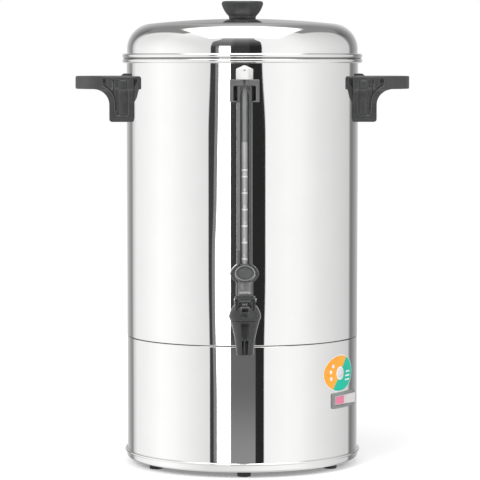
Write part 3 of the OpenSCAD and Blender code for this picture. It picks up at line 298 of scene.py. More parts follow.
def loft(rows, across, ends=True):
    """Faces between rows of points, closed by two end faces or, without ends, into a ring."""
    faces = []
    for k in range(rows - 1 if ends else rows):
        m = (k + 1) % rows
        for i in range(across):
            j = (i + 1) % across
            faces.append((k * across + i, k * across + j, m * across + j, m * across + i))
    if ends:
        faces += [tuple(range(across)), tuple(range((rows - 1) * across, rows * across))]
    return faces


def circle(steps):
    """The angles of evenly spaced points on a circle, in radians."""
    return [2 * math.pi * i / steps for i in range(steps)]


def arc(c_r, c_z, r, start, end, steps):
    """Points on an arc of a profile, angles in degrees from outwards to upwards."""
    turns = [math.radians(start + (end - start) * i / steps) for i in range(steps + 1)]
    return [(c_r + r * math.cos(t), c_z + r * math.sin(t)) for t in turns]


def oblong(low_x, high_x, low_z, high_z):
    """The outline of an upright rectangle."""
    return [(low_x, low_z), (high_x, low_z), (high_x, high_z), (low_x, high_z)]


def lathe(name, profile, body, stuff, replaced=(), segments=ROUND_STEPS):
    """A closed profile turned about the urn's axis. Points on the axis become one point."""
    verts, rows = [], []
    for r, z in profile:
        if r < 1e-6:
            rows.append([len(verts)] * segments)
            verts.append((0, 0, z))
        else:
            rows.append(list(range(len(verts), len(verts) + segments)))
            verts += [(r * math.cos(t), r * math.sin(t), z) for t in circle(segments)]
    faces = []
    for a, b in zip(rows, rows[1:] + rows[:1]):
        for i in range(segments):
            j = (i + 1) % segments
            corners = list(dict.fromkeys((a[i], a[j], b[j], b[i])))
            if len(corners) > 2:
                faces.append(corners)
    return piece(name, verts, faces, body, stuff, replaced=replaced)


def node_mesh(node):
    """A copy of a CAD node's mesh without its stored normals."""
    mesh = nodes[node].data.copy()
    if "custom_normal" in mesh.attributes:
        mesh.attributes.remove(mesh.attributes["custom_normal"])
    return mesh


def dressed(node, bevel, angle=30.0):
    """A copy of a CAD node with its flat faces joined and its sharp edges rounded."""
    mesh = node_mesh(node)
    work = bmesh.new()
    work.from_mesh(mesh)
    bmesh.ops.remove_doubles(work, verts=work.verts, dist=2e-6)
    bmesh.ops.dissolve_limit(work, angle_limit=math.radians(0.6), verts=work.verts,
                             edges=work.edges)
    work.to_mesh(mesh)
    work.free()
    slot = slot_of[node]
    obj = add_object(node + "_moulded", mesh)
    finish_mesh(obj, body_of[node], SLOT_MATERIAL[slot], angle, (node,))
    edge = obj.modifiers.new("edges", "BEVEL")
    edge.width = bevel * MM
    edge.segments = 3
    edge.limit_method = "ANGLE"
    edge.angle_limit = math.radians(angle)
    return obj


def moulded(node, voxel, rounds, stuff=None):
    """A copy of a CAD node remade from small voxels and smoothed, with a moulding's round edges."""
    mesh = node_mesh(node)
    obj = add_object(node + "_moulded", mesh)
    grid = obj.modifiers.new("voxels", "REMESH")
    grid.mode, grid.voxel_size = "VOXEL", voxel * MM
    soft = obj.modifiers.new("soft", "SMOOTH")
    soft.factor, soft.iterations = 0.5, rounds
    thin = obj.modifiers.new("thin", "DECIMATE")
    thin.ratio = 0.3
    shaped = obj.evaluated_get(bpy.context.evaluated_depsgraph_get())
    made = bpy.data.meshes.new_from_object(shaped)
    obj.modifiers.clear()
    obj.data = made
    made.name = obj.name
    bpy.data.meshes.remove(mesh)
    slot = slot_of[node]
    return finish_mesh(obj, body_of[node], stuff or SLOT_MATERIAL[slot], 60.0, (node,))


def on_wall(r, angle, along, up, out):
    """A point on a round wall: its angle, then millimetres along, up and off the wall."""
    t = math.radians(angle) + along / r
    return ((r + out) * math.sin(t), -(r + out) * math.cos(t), up)


def wall_patch(name, outline, stuff, r, angle, up, out, thick, axis_y=0.0):
    """A thin patch with an outline of (along, up) points, bent on a round wall in fine strips."""
    work = bmesh.new()
    work.faces.new([work.verts.new((x, 0, z)) for x, z in outline])
    low, high = min(x for x, z in outline), max(x for x, z in outline)
    strips = max(1, int((high - low) / PATCH_STEP))
    for i in range(1, strips):
        cut = low + (high - low) * i / strips
        bmesh.ops.bisect_plane(work, geom=work.verts[:] + work.edges[:] + work.faces[:],
                               plane_co=(cut, 0, 0), plane_no=(1, 0, 0))
    made = bmesh.ops.extrude_face_region(work, geom=work.faces[:])
    for v in made["geom"]:
        if isinstance(v, bmesh.types.BMVert):
            v.co.y += thick
    for v in work.verts:
        x, y, z = on_wall(r, angle, v.co.x, up + v.co.z, out + v.co.y)
        v.co = Vector((x, y + axis_y, z)) * MM
    bmesh.ops.recalc_face_normals(work, faces=work.faces)
    mesh = bpy.data.meshes.new(name)
    work.to_mesh(mesh)
    work.free()
    return finish_mesh(add_object(name, mesh), "urn", stuff, 50.0)


# Tank, lid, trim ring and base: turned sheet metal

def tank_wall():
    """The tank's wall with its rolled rim."""
    foot_r = 0.8
    meet = math.sqrt(BEAD_R ** 2 - (BEAD_C_R - BODY_R) ** 2)
    meet_angle = math.degrees(math.atan2(-meet, BODY_R - BEAD_C_R))
    profile = (
        arc(BODY_R - foot_r, SEAM_Z + 0.9, foot_r, -90, 0, 6)
        + [(BODY_R, SEAM_Z + 1.1)] + [(BODY_R, SEAM_Z + 60 + 40 * i) for i in range(6)]
        + arc(BEAD_C_R, TANK_BEAD_Z, BEAD_R, meet_angle, 180, 28)
        + [(INNER_R, TANK_BEAD_Z), (INNER_R, SEAM_Z + 0.2), (INNER_R + 0.1, SEAM_Z + 0.1)])
    lathe("tank_wall", profile, "urn", steel, replaced=("tank_shell",))


def lid_dome():
    """The lid: a shallow crown, a round shoulder, a rolled edge and the rim that plugs the tank."""
    crown_c = CROWN_Z - CROWN_R
    shoulder_c_r = LID_R - SHOULDER_R
    shoulder_c_z = crown_c + math.sqrt((CROWN_R - SHOULDER_R) ** 2 - shoulder_c_r ** 2)
    shoulder = math.degrees(math.atan2(shoulder_c_z - crown_c, shoulder_c_r))
    half = SHEET / 2
    ledge = math.degrees(math.asin(half / BEAD_R))
    ledge_z, under_z = LID_BEAD_Z + half, LID_BEAD_Z - half
    profile = (
        [(0, CROWN_Z)]
        + arc(0, crown_c, CROWN_R, 90, shoulder, 24)[1:]
        + arc(shoulder_c_r, shoulder_c_z, SHOULDER_R, shoulder, 0, 36)[1:]
        + [(LID_R, ledge_z)]
        + arc(BEAD_C_R, LID_BEAD_Z, BEAD_R, 180 - ledge, ledge - 180, 32)
        + [(LID_PLUG_R, under_z), (LID_PLUG_R, LID_FOOT_Z + half),
           (LID_PLUG_R - half, LID_FOOT_Z), (LID_PLUG_R - SHEET, LID_FOOT_Z + half),
           (LID_PLUG_R - SHEET, ledge_z), (LID_R - SHEET, ledge_z)]
        + arc(shoulder_c_r, shoulder_c_z, SHOULDER_R - SHEET, 0, shoulder, 24)
        + arc(0, crown_c, CROWN_R - SHEET, shoulder, 90, 16)[1:-1]
        + [(0, CROWN_Z - SHEET)])
    lathe("lid_dome", profile, "lid", steel, replaced=("lid_shell",))


def bead_hem(name, bead_z, start, end, body):
    """A dark steel ring on a bead, in the crevice between the two beads: painted shade for the gap.
    """
    skin, depth, steps = 0.03, 0.1, 10
    profile = (arc(BEAD_C_R, bead_z, BEAD_R + skin, start, end, steps)
               + arc(BEAD_C_R, bead_z, BEAD_R - depth, end, start, steps))
    lathe(name, profile, body, crevice_shade_steel)


def trim_ring():
    """The ring round the base's foot: a rounded lip on top, and a roll down to its floor."""
    inner_r = SKIRT_R + 0.1
    lip_z, roll_z = FOOT_H + TRIM_H - TRIM_LIP_R, FOOT_H + TRIM_ROLL_R
    roll_c = TRIM_R - TRIM_LEAN - TRIM_ROLL_R
    floor_z = FOOT_H + TRIM_FLOOR
    profile = (
        [(inner_r, roll_z), (inner_r, FOOT_H + TRIM_H)]
        + arc(TRIM_R, lip_z, TRIM_LIP_R, 90, -90, 12)
        + arc(roll_c, roll_z, TRIM_ROLL_R, 0, -90, 10)
        + [(TRIM_INNER_R, FOOT_H), (TRIM_INNER_R, floor_z), (roll_c, floor_z)]
        + arc(roll_c, roll_z, TRIM_ROLL_R - TRIM_FLOOR, -90, -20, 6)[1:])
    lathe("trim_ring", profile, "urn", steel, replaced=("base_ring",))


# Windows in the base: angle, half width, height of the middle, half height
WINDOWS = [(SWITCH_ANGLE, 24.03, SWITCH_Z, 7.2), (INLET_ANGLE, 14.35, INLET_Z, 10.6)]


def in_window(angle, height):
    """Whether a point of the base's wall lies in a window."""
    for middle, half_w, z, half_h in WINDOWS:
        off = (angle - middle + 180) % 360 - 180
        across = abs(SKIRT_R * math.sin(math.radians(off)))
        if across < half_w and abs(off) < 90 and abs(height - z) < half_h:
            return True
    return False


def base_wall():
    """The base's wall with square windows for the switch and the inlet, and its folded top edge."""
    even = {round(360 * i / ROUND_STEPS, 6) for i in range(ROUND_STEPS)}
    jambs = {round((angle + s * math.degrees(math.asin(half_w / SKIRT_R))) % 360, 6)
             for angle, half_w, z, half_h in WINDOWS for s in (-1, 1)}
    sills = {z + s * half_h for angle, half_w, z, half_h in WINDOWS for s in (-1, 1)}
    edges = sorted(even | jambs)
    rows = sorted({SKIRT_FOOT, 20.0, 120.0, SKIRT_TOP - 1.3} | sills)
    loop = (
        [(SKIRT_R, z) for z in rows] + arc(SKIRT_R - SHEET, SKIRT_TOP - SHEET, SHEET, 0, 90, 8)
        + [(SKIRT_FOLD_R, SKIRT_TOP), (SKIRT_FOLD_R, SEAM_Z - 1), (SKIRT_R - SHEET, SEAM_Z - 1.2)]
        + [(SKIRT_R - SHEET, z) for z in rows[::-1]])
    turns = [math.radians(e) for e in edges]
    verts = [(r * math.sin(t), -r * math.cos(t), z) for r, z in loop for t in turns]
    faces = []
    n = len(edges)
    for k, (r, z) in enumerate(loop):
        m = (k + 1) % len(loop)
        next_r, next_z = loop[m]
        upright = abs(r - next_r) < 1e-6
        for i in range(n):
            j = (i + 1) % n
            middle = edges[i] + ((edges[j] - edges[i]) % 360) / 2
            if not (upright and in_window(middle, (z + next_z) / 2)):
                faces.append((k * n + i, k * n + j, m * n + j, m * n + i))
    piece("base_wall", verts, faces, "urn", steel, replaced=("base_skirt",))


tank_wall()
lid_dome()
# Painted shade on the two beads, in the crevice between the lid and the tank
bead_hem("lid_bead_painted_shade", LID_BEAD_Z, -50, -110, "lid")
bead_hem("tank_bead_painted_shade", TANK_BEAD_Z, 110, 50, "urn")
trim_ring()
base_wall()

# A dark rubber ring in the groove between the tank and the base: painted shade for the gap
seam_shade_outline = oblong(SEAM_SHADE_R, SEAM_SHADE_OUT_R, SKIRT_TOP + 0.02, SEAM_Z + 0.08)
lathe("seam_painted_shade", seam_shade_outline, "urn", rubber)

# The tank's weld, at the back
WELD_HALF_W = 1.4
wall_patch("tank_weld", oblong(-WELD_HALF_W, WELD_HALF_W, SEAM_Z + 3, RIM_Z - 7),
           satin, BODY_R, 180, 0, -0.02, 0.1)


def knob():
    """The lid's knob: a short foot, a leaning side, a round edge and a slightly domed top."""
    edge_r, edge_z = KNOB_R - KNOB_EDGE_R, KNOB_H - KNOB_EDGE_R
    lean = math.radians(KNOB_LEAN)
    side_r = edge_r - (KNOB_SIDE_R - KNOB_EDGE_R) * math.cos(lean)
    side_z = edge_z + (KNOB_SIDE_R - KNOB_EDGE_R) * math.sin(lean)
    chamfer, neck_h, neck_angle, top_angle = 0.6, 2.6, -45.8, 68
    profile = (
        [(0, 0), (KNOB_FOOT_R - chamfer, 0), (KNOB_FOOT_R, chamfer), (KNOB_FOOT_R + 0.1, neck_h)]
        + arc(side_r, side_z, KNOB_SIDE_R, neck_angle, -KNOB_LEAN, 20)
        + arc(edge_r, edge_z, KNOB_EDGE_R, -KNOB_LEAN, top_angle, 9)[1:]
        + [(r, KNOB_H - KNOB_DOME * (r / edge_r) ** 2) for r in (20.0, 16.0, 11.0, 6.0, 0.0)])
    lathe("knob_moulding", [(r, z + CROWN_Z) for r, z in profile], "lid",
          knob_plastic, replaced=("lid_knob",), segments=96)


knob()

# Moulded pieces: node, size of its voxels, rounds of smoothing, material or None for the slot's

HANDLES = ("left_handle", "right_handle")
# Guard, holder and lever take lighter copies of the dark plastic: painted light
MOULDINGS = [
    ("gauge_guard", 0.45, 6, satin_painted_light_plastic), ("gauge_holder", 0.45, 6, painted_light_plastic),
    ("tap_body", 0.4, 6, None), ("tap_bonnet", 0.4, 6, None), ("tap_lever", 0.35, 6, satin_painted_light_plastic),
    ("switch_housing", 0.4, 4, bezel_plastic), ("switch_rocker", 0.35, 4, None),
    ("power_inlet", 0.4, 4, None),
]
for node in HANDLES:
    moulded(node, 0.6, 4, matt_plastic).visible_glossy = False
for row in MOULDINGS:
    moulded(*row)
dressed("tap_nut", 0.5)
dressed("gauge_cap", 0.5, angle=25.0)
for n in range(1, 7):
    dressed("foot_%d" % n, 0.6)


# Handles

def handle_rib(name, x_side, y_side):
    """The half-round rib in the panel at one end of a handle, from under its deck to its foot."""
    panel_half, foot_half, fillet, fillet_drop = 63.8, 48.3, 19.4, 31.5
    first_drop, count, across = 3.6, 42, 11
    half_w, height, taper, sunk = 5.2, 2.0, 3, 0.4
    middle_r = BODY_R + 2.5
    path = []
    for k in range(count):
        drop = first_drop + k
        half = panel_half
        if drop > fillet_drop:
            half = foot_half
        elif fillet_drop - drop < fillet:
            curve = math.sqrt(fillet ** 2 - (fillet_drop - drop) ** 2)
            half = min(panel_half, foot_half + fillet - curve)
        path.append((half, drop))
    verts = []
    last = count - 1
    for k, (half, drop) in enumerate(path):
        before, after = path[max(0, k - 1)], path[min(last, k + 1)]
        run, fall = after[0] - before[0], after[1] - before[1]
        size = math.hypot(run, fall)
        rise = height * math.sqrt(min(1.0, k / taper, (last - k) / taper))
        for i in range(across):
            a = math.pi * i / (across - 1)
            out = -sunk + (rise + sunk / 2) * math.sin(a)
            verts.append((x_side * (middle_r + half_w * math.cos(a)),
                          y_side * (half + out * fall / size),
                          HANDLE_Z - drop + out * run / size))
    rib = piece(name, verts, loft(count, across), "urn", matt_plastic, 60.0)
    rib.visible_glossy = False


for i, (x_side, y_side) in enumerate(((1, -1), (1, 1), (-1, -1), (-1, 1)), 1):
    handle_rib("handle_rib_%d" % i, x_side, y_side)

# Painted shade: a thin black patch on the tank's wall in the slot at each end of a handle
SLOT_SHADE = [(-6.8, 434.0), (-6.8, 420.0), (-2.0, 412.0), (6.1, 406.5), (6.1, 434.0)]
for i, (angle, side) in enumerate(((65.5, 1), (114.5, -1), (-65.5, -1), (-114.5, 1)), 1):
    wall_patch("handle_slot_painted_shade_%d" % i, [(side * x, z) for x, z in SLOT_SHADE],
               black, BODY_R, angle, 0, 0.01, 0.08)


# Gauge

def rail_bevel(name, profile):
    """A long bevel on the front of one of the guard's rails: x, and how far it stands out."""
    front = -152.4
    ends = ((249.0, 0.0), (250.0, 1.0), (408.0, 1.0), (409.0, 0.0))
    verts = [(x, front - (out * share if out > 0 else out), z)
             for z, share in ends for x, out in profile]
    # The bevels take the guard's lighter plastic, which is painted light
    piece(name, verts, loft(len(ends), len(profile)), "urn", satin_painted_light_plastic, 20.0)


rail_bevel("left_rail_bevel",
           [(-7.9, -0.3), (-7.9, 0.12), (-5.0, 0.64), (-4.7, 0.4), (-4.7, -0.3)])
rail_bevel("right_rail_bevel",
           [(6.9, -0.3), (6.9, 0.1), (7.9, 0.28), (8.1, 0.1), (8.1, -0.3)])

# A printed film on the glass with its litre lines and figures, and a line for the highest level
FILM_HALF_W, FILM_LOW, FILM_HIGH = 3.4, 214, 366
MARK_HALF_W, MARK_HALF_H = 3.6, 0.95
LITRE_Z = {5: 240.7, 6: 258.4, 7: 276.1, 8: 293.8, 9: 311.5, 10: 329.2}
FULL_Z = 336.1
FIGURE_SIZE, FIGURE_LIFT = 5.2, 1.4


def tube_patch(name, outline, out, stuff):
    """A thin patch on the front of the gauge's glass."""
    return wall_patch(name, outline, stuff, GLASS_R, 0, 0, out, PRINT_T, -GAUGE_Y)


def figure(text, z):
    """A number bent on the glass."""
    curve = bpy.data.curves.new("figure", "FONT")
    curve.body = text
    curve.align_x = "CENTER"
    curve.size = FIGURE_SIZE
    curve.resolution_u = 3
    flat = bpy.data.objects.new("figure_flat", curve)
    mesh = bpy.data.meshes.new_from_object(flat)
    bpy.data.objects.remove(flat)
    for v in mesh.vertices:
        x, y, up = on_wall(GLASS_R, 0, v.co.x, z + v.co.y, 0.1)
        v.co = Vector((x, y - GAUGE_Y, up)) * MM
    obj = add_object("gauge_figure_" + text, mesh)
    return finish_mesh(obj, "urn", ink_white)


tube_patch("gauge_scale_film", oblong(-FILM_HALF_W, FILM_HALF_W, FILM_LOW, FILM_HIGH), 0.02,
           scale_grey)
for i, z in enumerate([*LITRE_Z.values(), FULL_Z], 1):
    line = oblong(-MARK_HALF_W, MARK_HALF_W, z - MARK_HALF_H, z + MARK_HALF_H)
    tube_patch("gauge_mark_%d" % i, line, 0.09, ink_white)
for litres, z in LITRE_Z.items():
    figure(str(litres), z + FIGURE_LIFT)


# Label round the lamp: two plain coloured fields with simple marks

LABEL_W, LABEL_H, LABEL_BORDER, LABEL_SPLIT = 58.0, 39.0, 1.6, 62.0
LABEL_DOTS = ((-17, -5), (-17.5, 2.5), (-13.5, 8.5))
LABEL_BARS = ((11, -8.5, 11), (11.5, -4, 11), (13, 0.5, 10))
DOT_D, BAR_HALF_H, LAMP_RING_D = 4.4, 0.9, 15
UNDER, FIELD, OVER = 0.02, 0.09, 0.15


def ellipse(w, h, start=0.0, end=360.0, steps=72):
    """The outline of an ellipse, or of the part of it between two angles."""
    count = steps + (end - start < 360)
    turns = [math.radians(start + (end - start) * i / steps) for i in range(count)]
    return [(w / 2 * math.cos(t), h / 2 * math.sin(t)) for t in turns]


def label(name, outline, out, stuff):
    """A printed patch on the base, its outline measured from the lamp."""
    return wall_patch(name, outline, stuff, SKIRT_R, LAMP_ANGLE, LAMP_Z, out,
                      PRINT_T)


label("label_border", ellipse(LABEL_W + LABEL_BORDER, LABEL_H + LABEL_BORDER), UNDER, ink_white)
label("label_amber_field", ellipse(LABEL_W, LABEL_H, LABEL_SPLIT, LABEL_SPLIT + 180, 48), FIELD,
      ink_amber)
label("label_teal_field", ellipse(LABEL_W, LABEL_H, LABEL_SPLIT - 180, LABEL_SPLIT, 48), FIELD,
      ink_teal)
label("label_lamp_ring", ellipse(LAMP_RING_D, LAMP_RING_D), OVER, ink_white)
for i, (x, z) in enumerate(LABEL_DOTS, 1):
    dot = [(x + a, z + b) for a, b in ellipse(DOT_D, DOT_D, steps=24)]
    label("label_dot_%d" % i, dot, OVER, ink_white)
for i, (x, z, w) in enumerate(LABEL_BARS, 1):
    label("label_bar_%d" % i, oblong(x, x + w, z - BAR_HALF_H, z + BAR_HALF_H), OVER, ink_white)


# Switch

def rocker_lens():
    """A raised lens on the pressed half of the rocker, which slopes in towards its end."""
    turn, slope = math.radians(SWITCH_ANGLE), math.tan(math.radians(4))
    middle, half_w, half_h, corner, face = -10.6, 8.6, 4.0, 1.2, 0.2
    outline = []
    for side_x, side_z, start in ((1, 1, 0), (-1, 1, 90), (-1, -1, 180), (1, -1, 270)):
        for t in (math.radians(start + 30 * k) for k in range(4)):
            outline.append((side_x * (half_w - corner) + corner * math.cos(t),
                            side_z * (half_h - corner) + corner * math.sin(t)))
    rows = ((1.0, -0.3), (1.0, 0.25), (0.96, 0.42), (0.86, 0.5))
    verts = []
    for shrink, lift in rows:
        for x, z in outline:
            along = middle + x * shrink
            r = SKIRT_R + face + along * slope + lift
            verts.append((along * math.cos(turn) + r * math.sin(turn),
                          along * math.sin(turn) - r * math.cos(turn), SWITCH_Z + z * shrink))
    piece("rocker_lens", verts, loft(len(rows), len(outline)), "rocker", lens_red)


rocker_lens()


# Tap: the lever's thumb disc and toe, and the valve's spring

DISC_Y, DISC_Z, DISC_LEAN = -PIN_Y - 3, PIN_Z + 29.5, math.radians(45)


def disc_point(r, turn, z):
    """A point on the thumb disc: how far from its middle, at which angle, and above its face."""
    x, y = r * math.cos(turn), r * math.sin(turn)
    return (x, DISC_Y + y * math.cos(DISC_LEAN) - z * math.sin(DISC_LEAN),
            DISC_Z + y * math.sin(DISC_LEAN) + z * math.cos(DISC_LEAN))


def disc_ring():
    """A raised ring in the thumb disc's dish."""
    major, minor, depth, sides, turns = 8.6, 0.7, 0.9, 10, 64
    verts = [disc_point(major + minor * math.cos(b), t, minor * math.sin(b) - depth)
             for t in circle(turns) for b in circle(sides)]
    piece("disc_ring", verts, loft(turns, sides, ends=False), "tap_lever",
          pad_plastic)


def thumb_pad():
    """A matt pad inside the ring, a little crowned."""
    turns = 48
    rings = [(7.9, -0.98), (7.9, -0.6), (7.5, -0.42), (5.0, -0.3), (2.5, -0.24)]
    verts = [disc_point(r, t, z) for r, z in rings for t in circle(turns)]
    piece("thumb_pad", verts, loft(len(rings), turns), "tap_lever", pad_plastic)


def lever_toe():
    """The toe on the front of the lever's neck: a hollow curve out to a lip above the pivot."""
    back_y, top_z, hollow = -186.2, 219.0, 5.8
    start_y, start_z, start_angle, end_angle = -188.0, 212.6, 8, 52
    profile = [(back_y, top_z), (-188.7, top_z), (-188.95, 218.6)]
    start = math.radians(start_angle)
    for degrees in range(-start_angle, end_angle + 1, 4):
        t = math.radians(degrees)
        profile.append((start_y - hollow * (math.cos(start) - math.cos(t)),
                        start_z - hollow * (math.sin(start) + math.sin(t))))
    lip_y, lip_z = profile[-1]
    profile += [(lip_y - 0.12, lip_z - 0.25), (lip_y - 0.1, lip_z - 0.6),
                (lip_y + 0.3, lip_z - 1.0), (back_y, lip_z - 2.2)]
    rows = ((-6.5, 0.9), (-6.3, 0.4), (-5.7, 0.0), (5.7, 0.0), (6.3, 0.4), (6.5, 0.9))
    verts = [(x, min(back_y, y + inset), z) for x, inset in rows for y, z in profile]
    # The toe's lighter plastic is painted light
    piece("lever_toe", verts, loft(len(rows), len(profile)), "tap_lever",
          painted_light_plastic, 50.0)


def spring_coil():
    """The tap's spring, in round wire, coiled in the box of the CAD spring."""
    low, high = (Vector(c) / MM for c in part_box("tap_spring"))
    wire, turns, steps, sides = 0.6, 6, 24, 10
    centre, coil_r = (low + high) / 2, (high.x - low.x) / 2 - wire
    last = turns * steps
    rise = high.z - low.z - 2 * wire
    verts = []
    for i in range(last + 1):
        a = 2 * math.pi * i / steps
        for b in circle(sides):
            r = coil_r + wire * math.cos(b)
            verts.append((centre.x + r * math.cos(a), centre.y + r * math.sin(a),
                          low.z + wire + rise * i / last + wire * math.sin(b)))
    obj = new_mesh("spring_coil", verts, loft(last + 1, sides))
    dress_mesh(obj, zinc, replaced=("tap_spring",))
    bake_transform(obj)


disc_ring()
thumb_pad()
lever_toe()
spring_coil()


# Floor, world and lamps

def floor():
    """A pale matt floor, which the camera sees a little brighter with the distance from the urn."""
    half, steps = 6.0, 12
    row = steps + 1
    places = [-half + 2 * half * i / steps for i in range(row)]
    quads = [(j * row + i, j * row + i + 1, (j + 1) * row + i + 1, (j + 1) * row + i)
             for j in range(steps) for i in range(steps)]
    mesh = bpy.data.meshes.new("floor")
    mesh.from_pydata([(x, y, -0.0001) for y in places for x in places], [], quads)
    obj = add_object("floor", mesh)
    obj.visible_glossy = False

    made = bpy.data.materials.new("floor_white")
    made.use_nodes = True
    tree = made.node_tree
    tree.nodes.clear()
    matt = tree.nodes.new("ShaderNodeBsdfDiffuse")
    matt.inputs["Color"].default_value = (0.85, 0.85, 0.85, 1)
    place = tree.nodes.new("ShaderNodeTexCoord")
    away = tree.nodes.new("ShaderNodeVectorMath")
    away.operation = "LENGTH"
    tree.links.new(place.outputs["Object"], away.inputs[0])
    near, far, near_glow, far_glow = 0.15, 2.2, 0.22, 0.58
    lift = map_range(tree, away.outputs["Value"], near, far, near_glow, far_glow)
    path = tree.nodes.new("ShaderNodeLightPath")
    glow = tree.nodes.new("ShaderNodeEmission")
    strength = Sums(tree).do("MULTIPLY", path.outputs["Is Camera Ray"], lift)
    tree.links.new(strength, glow.inputs["Strength"])
    both = tree.nodes.new("ShaderNodeAddShader")
    tree.links.new(matt.outputs["BSDF"], both.inputs[0])
    tree.links.new(glow.outputs["Emission"], both.inputs[1])
    out = tree.nodes.new("ShaderNodeOutputMaterial")
    tree.links.new(both.outputs["Shader"], out.inputs["Surface"])
    mesh.materials.append(made)


class Sums:
    """Builds sums of math nodes in a tree. A value is a number or a socket."""

    def __init__(self, tree):
        self.tree = tree

    def give(self, socket, value):
        """Sets or links a socket."""
        if isinstance(value, (int, float)):
            socket.default_value = value
        else:
            self.tree.links.new(value, socket)

    def do(self, operation, *values):
        """One math node."""
        node = self.tree.nodes.new("ShaderNodeMath")
        node.operation = operation
        for socket, value in zip(node.inputs, values):
            self.give(socket, value)
        return node.outputs["Value"]

    def step(self, value, low, high):
        """0 below low and 1 above high, with a smooth change between them."""
        node = self.tree.nodes.new("ShaderNodeMapRange")
        node.interpolation_type = "SMOOTHSTEP"
        self.give(node.inputs["From Min"], low)
        self.give(node.inputs["From Max"], high)
        self.give(node.inputs["Value"], value)
        return node.outputs["Result"]

    def less(self, value, low, high):
        """1 below low and 0 above high."""
        return self.do("SUBTRACT", 1, self.step(value, low, high))

    def mix(self, fac, a, b):
        """a where fac is 0 and b where it is 1."""
        rest = self.do("MULTIPLY", a, self.do("SUBTRACT", 1, fac))
        return self.do("ADD", rest, self.do("MULTIPLY", b, fac))

    def times(self, first, *others):
        """The product of two or more values."""
        for other in others:
            first = self.do("MULTIPLY", first, other)
        return first


# How bright the studio's walls are round the horizon: degrees from the front towards +X, brightness
RING = [
    (-180, 0.44), (-177, 0.55), (-173, 0.70), (-166, 0.60), (-158, 0.46), (-152, 0.34),
    (-147, 0.26), (-143.5, 0.32), (-141, 0.62), (-132, 0.90), (-110, 0.98), (-90, 1.08),
    (-75, 1.04), (-55, 0.92), (-42, 0.84), (-35, 0.80), (0, 0.85), (23, 0.96), (44, 1.02),
    (58, 0.99), (80, 0.84), (110, 0.72), (131, 0.63), (134.5, 0.24), (139, 0.20), (146, 0.30),
    (152, 0.38), (158, 0.48), (166, 0.63), (173, 0.74), (177, 0.58), (180, 0.44),
]
SOFTBOX, STRIP = 3.2, 2.5
DIFFUSE_LEVEL, SEEN_LEVEL = 0.58, 1.0
LAMP_AIM = Vector((0, 0, 0.25))


def side_walls(s, ring, x, height):
    """The walls round the horizon; those at the sides are a little darker higher up."""
    fall = s.times(s.mix(s.step(x, -0.9, -0.4), 0.0055, 0.002),
                   s.step(s.do("ABSOLUTE", x), 0.35, 0.8))
    dimmed = s.do("SUBTRACT", 1, s.times(s.do("MAXIMUM", height, 0), fall))
    return s.times(ring, dimmed)


def back_wall(s, studio, ring, x, y, height, over_y):
    """Behind: a wall that darkens upwards, and over its top edge a grey ceiling."""
    side = s.do("ABSOLUTE", x)
    wall = s.times(ring, s.mix(s.step(height, 3, 26), 1, 0.60))
    ceiling = s.mix(s.step(side, 0.04, 0.30), s.mix(s.less(over_y, 0.5, 0.85), 0.45, 0.62), 0.26)
    behind = s.times(s.less(side, 0.58, 0.64), s.step(y, -0.02, 0.06))
    return s.mix(behind, studio, s.mix(s.step(over_y, 1.2, 1.5), ceiling, wall))


def softbox(s, studio, over_x, over_y):
    """The softbox overhead, a little wider towards the front."""
    across = s.do("MULTIPLY_ADD", over_y, 0.14, over_x)
    box = s.times(s.less(across, 0.50, 0.63), s.less(over_y, 0.26, 0.58),
                  s.step(over_y, -0.94, -0.50))
    return s.mix(box, studio, SOFTBOX)


def opening_dark(s, turn, height):
    """The dark inside the opening, paler in a low patch, higher up and on the left."""
    dark = s.mix(s.step(turn, 5, 7), 0.045, 0.022)
    patch = s.times(s.less(height, -6.4, -5.9), s.less(turn, 11.6, 12.4))
    dark = s.mix(patch, dark, s.mix(s.less(height, -8.8, -7.0), 0.14, 0.27))
    dark = s.do("ADD", dark, s.times(s.step(height, 8, 24), 0.04))
    dark = s.do("ADD", dark, s.times(s.step(height, 22, 38), 0.12))
    left = s.times(s.less(turn, -14, -8), s.step(height, 2, 16), 0.07)
    return s.do("ADD", dark, left)


def opening_strip(s, turn, height, dark):
    """The white strip in the opening, with a grey and a dark line on its left."""
    sway = s.times(s.less(height, -4.3, -3.0), s.step(height, -7.6, -4.9), 1.7)
    shift = s.do("SUBTRACT", s.times(s.step(height, -3.4, 0.2), 2.1), sway)
    edge = s.do("SUBTRACT", turn, shift)
    lines = s.mix(s.step(edge, -29.6, -29.0), 0.05, 0.24)
    strip = s.mix(s.step(edge, -26.2, -25.6), lines, STRIP)
    return s.mix(s.step(turn, -12.8, -12.2), strip, dark)


def front_opening(s, studio, turn, height):
    """The opening in front: dark, narrower higher up, with a white strip in its lower part."""
    narrow = s.step(height, -1.6, 0.2)
    lower = s.less(height, -6.6, -4.6)
    high = s.step(height, 28, 42)
    left = s.do("ADD", s.do("MULTIPLY_ADD", narrow, 2.2, -34.4),
                s.do("MULTIPLY_ADD", high, 7, s.times(lower, 1.2)))
    right = s.do("SUBTRACT", s.do("MULTIPLY_ADD", narrow, -3.5, 21.7),
                 s.do("MULTIPLY_ADD", high, 5, s.times(lower, 1.3)))
    opening = s.times(
        s.step(turn, s.do("SUBTRACT", left, 0.5), s.do("ADD", left, 0.5)),
        s.less(turn, s.do("SUBTRACT", right, 0.6), s.do("ADD", right, 0.6)),
        s.less(height, 38, 53), s.step(height, -13, -9.5))
    dark = opening_dark(s, turn, height)
    strip = opening_strip(s, turn, height, dark)
    return s.mix(opening, studio, s.mix(s.less(height, 4, 16), dark, strip))


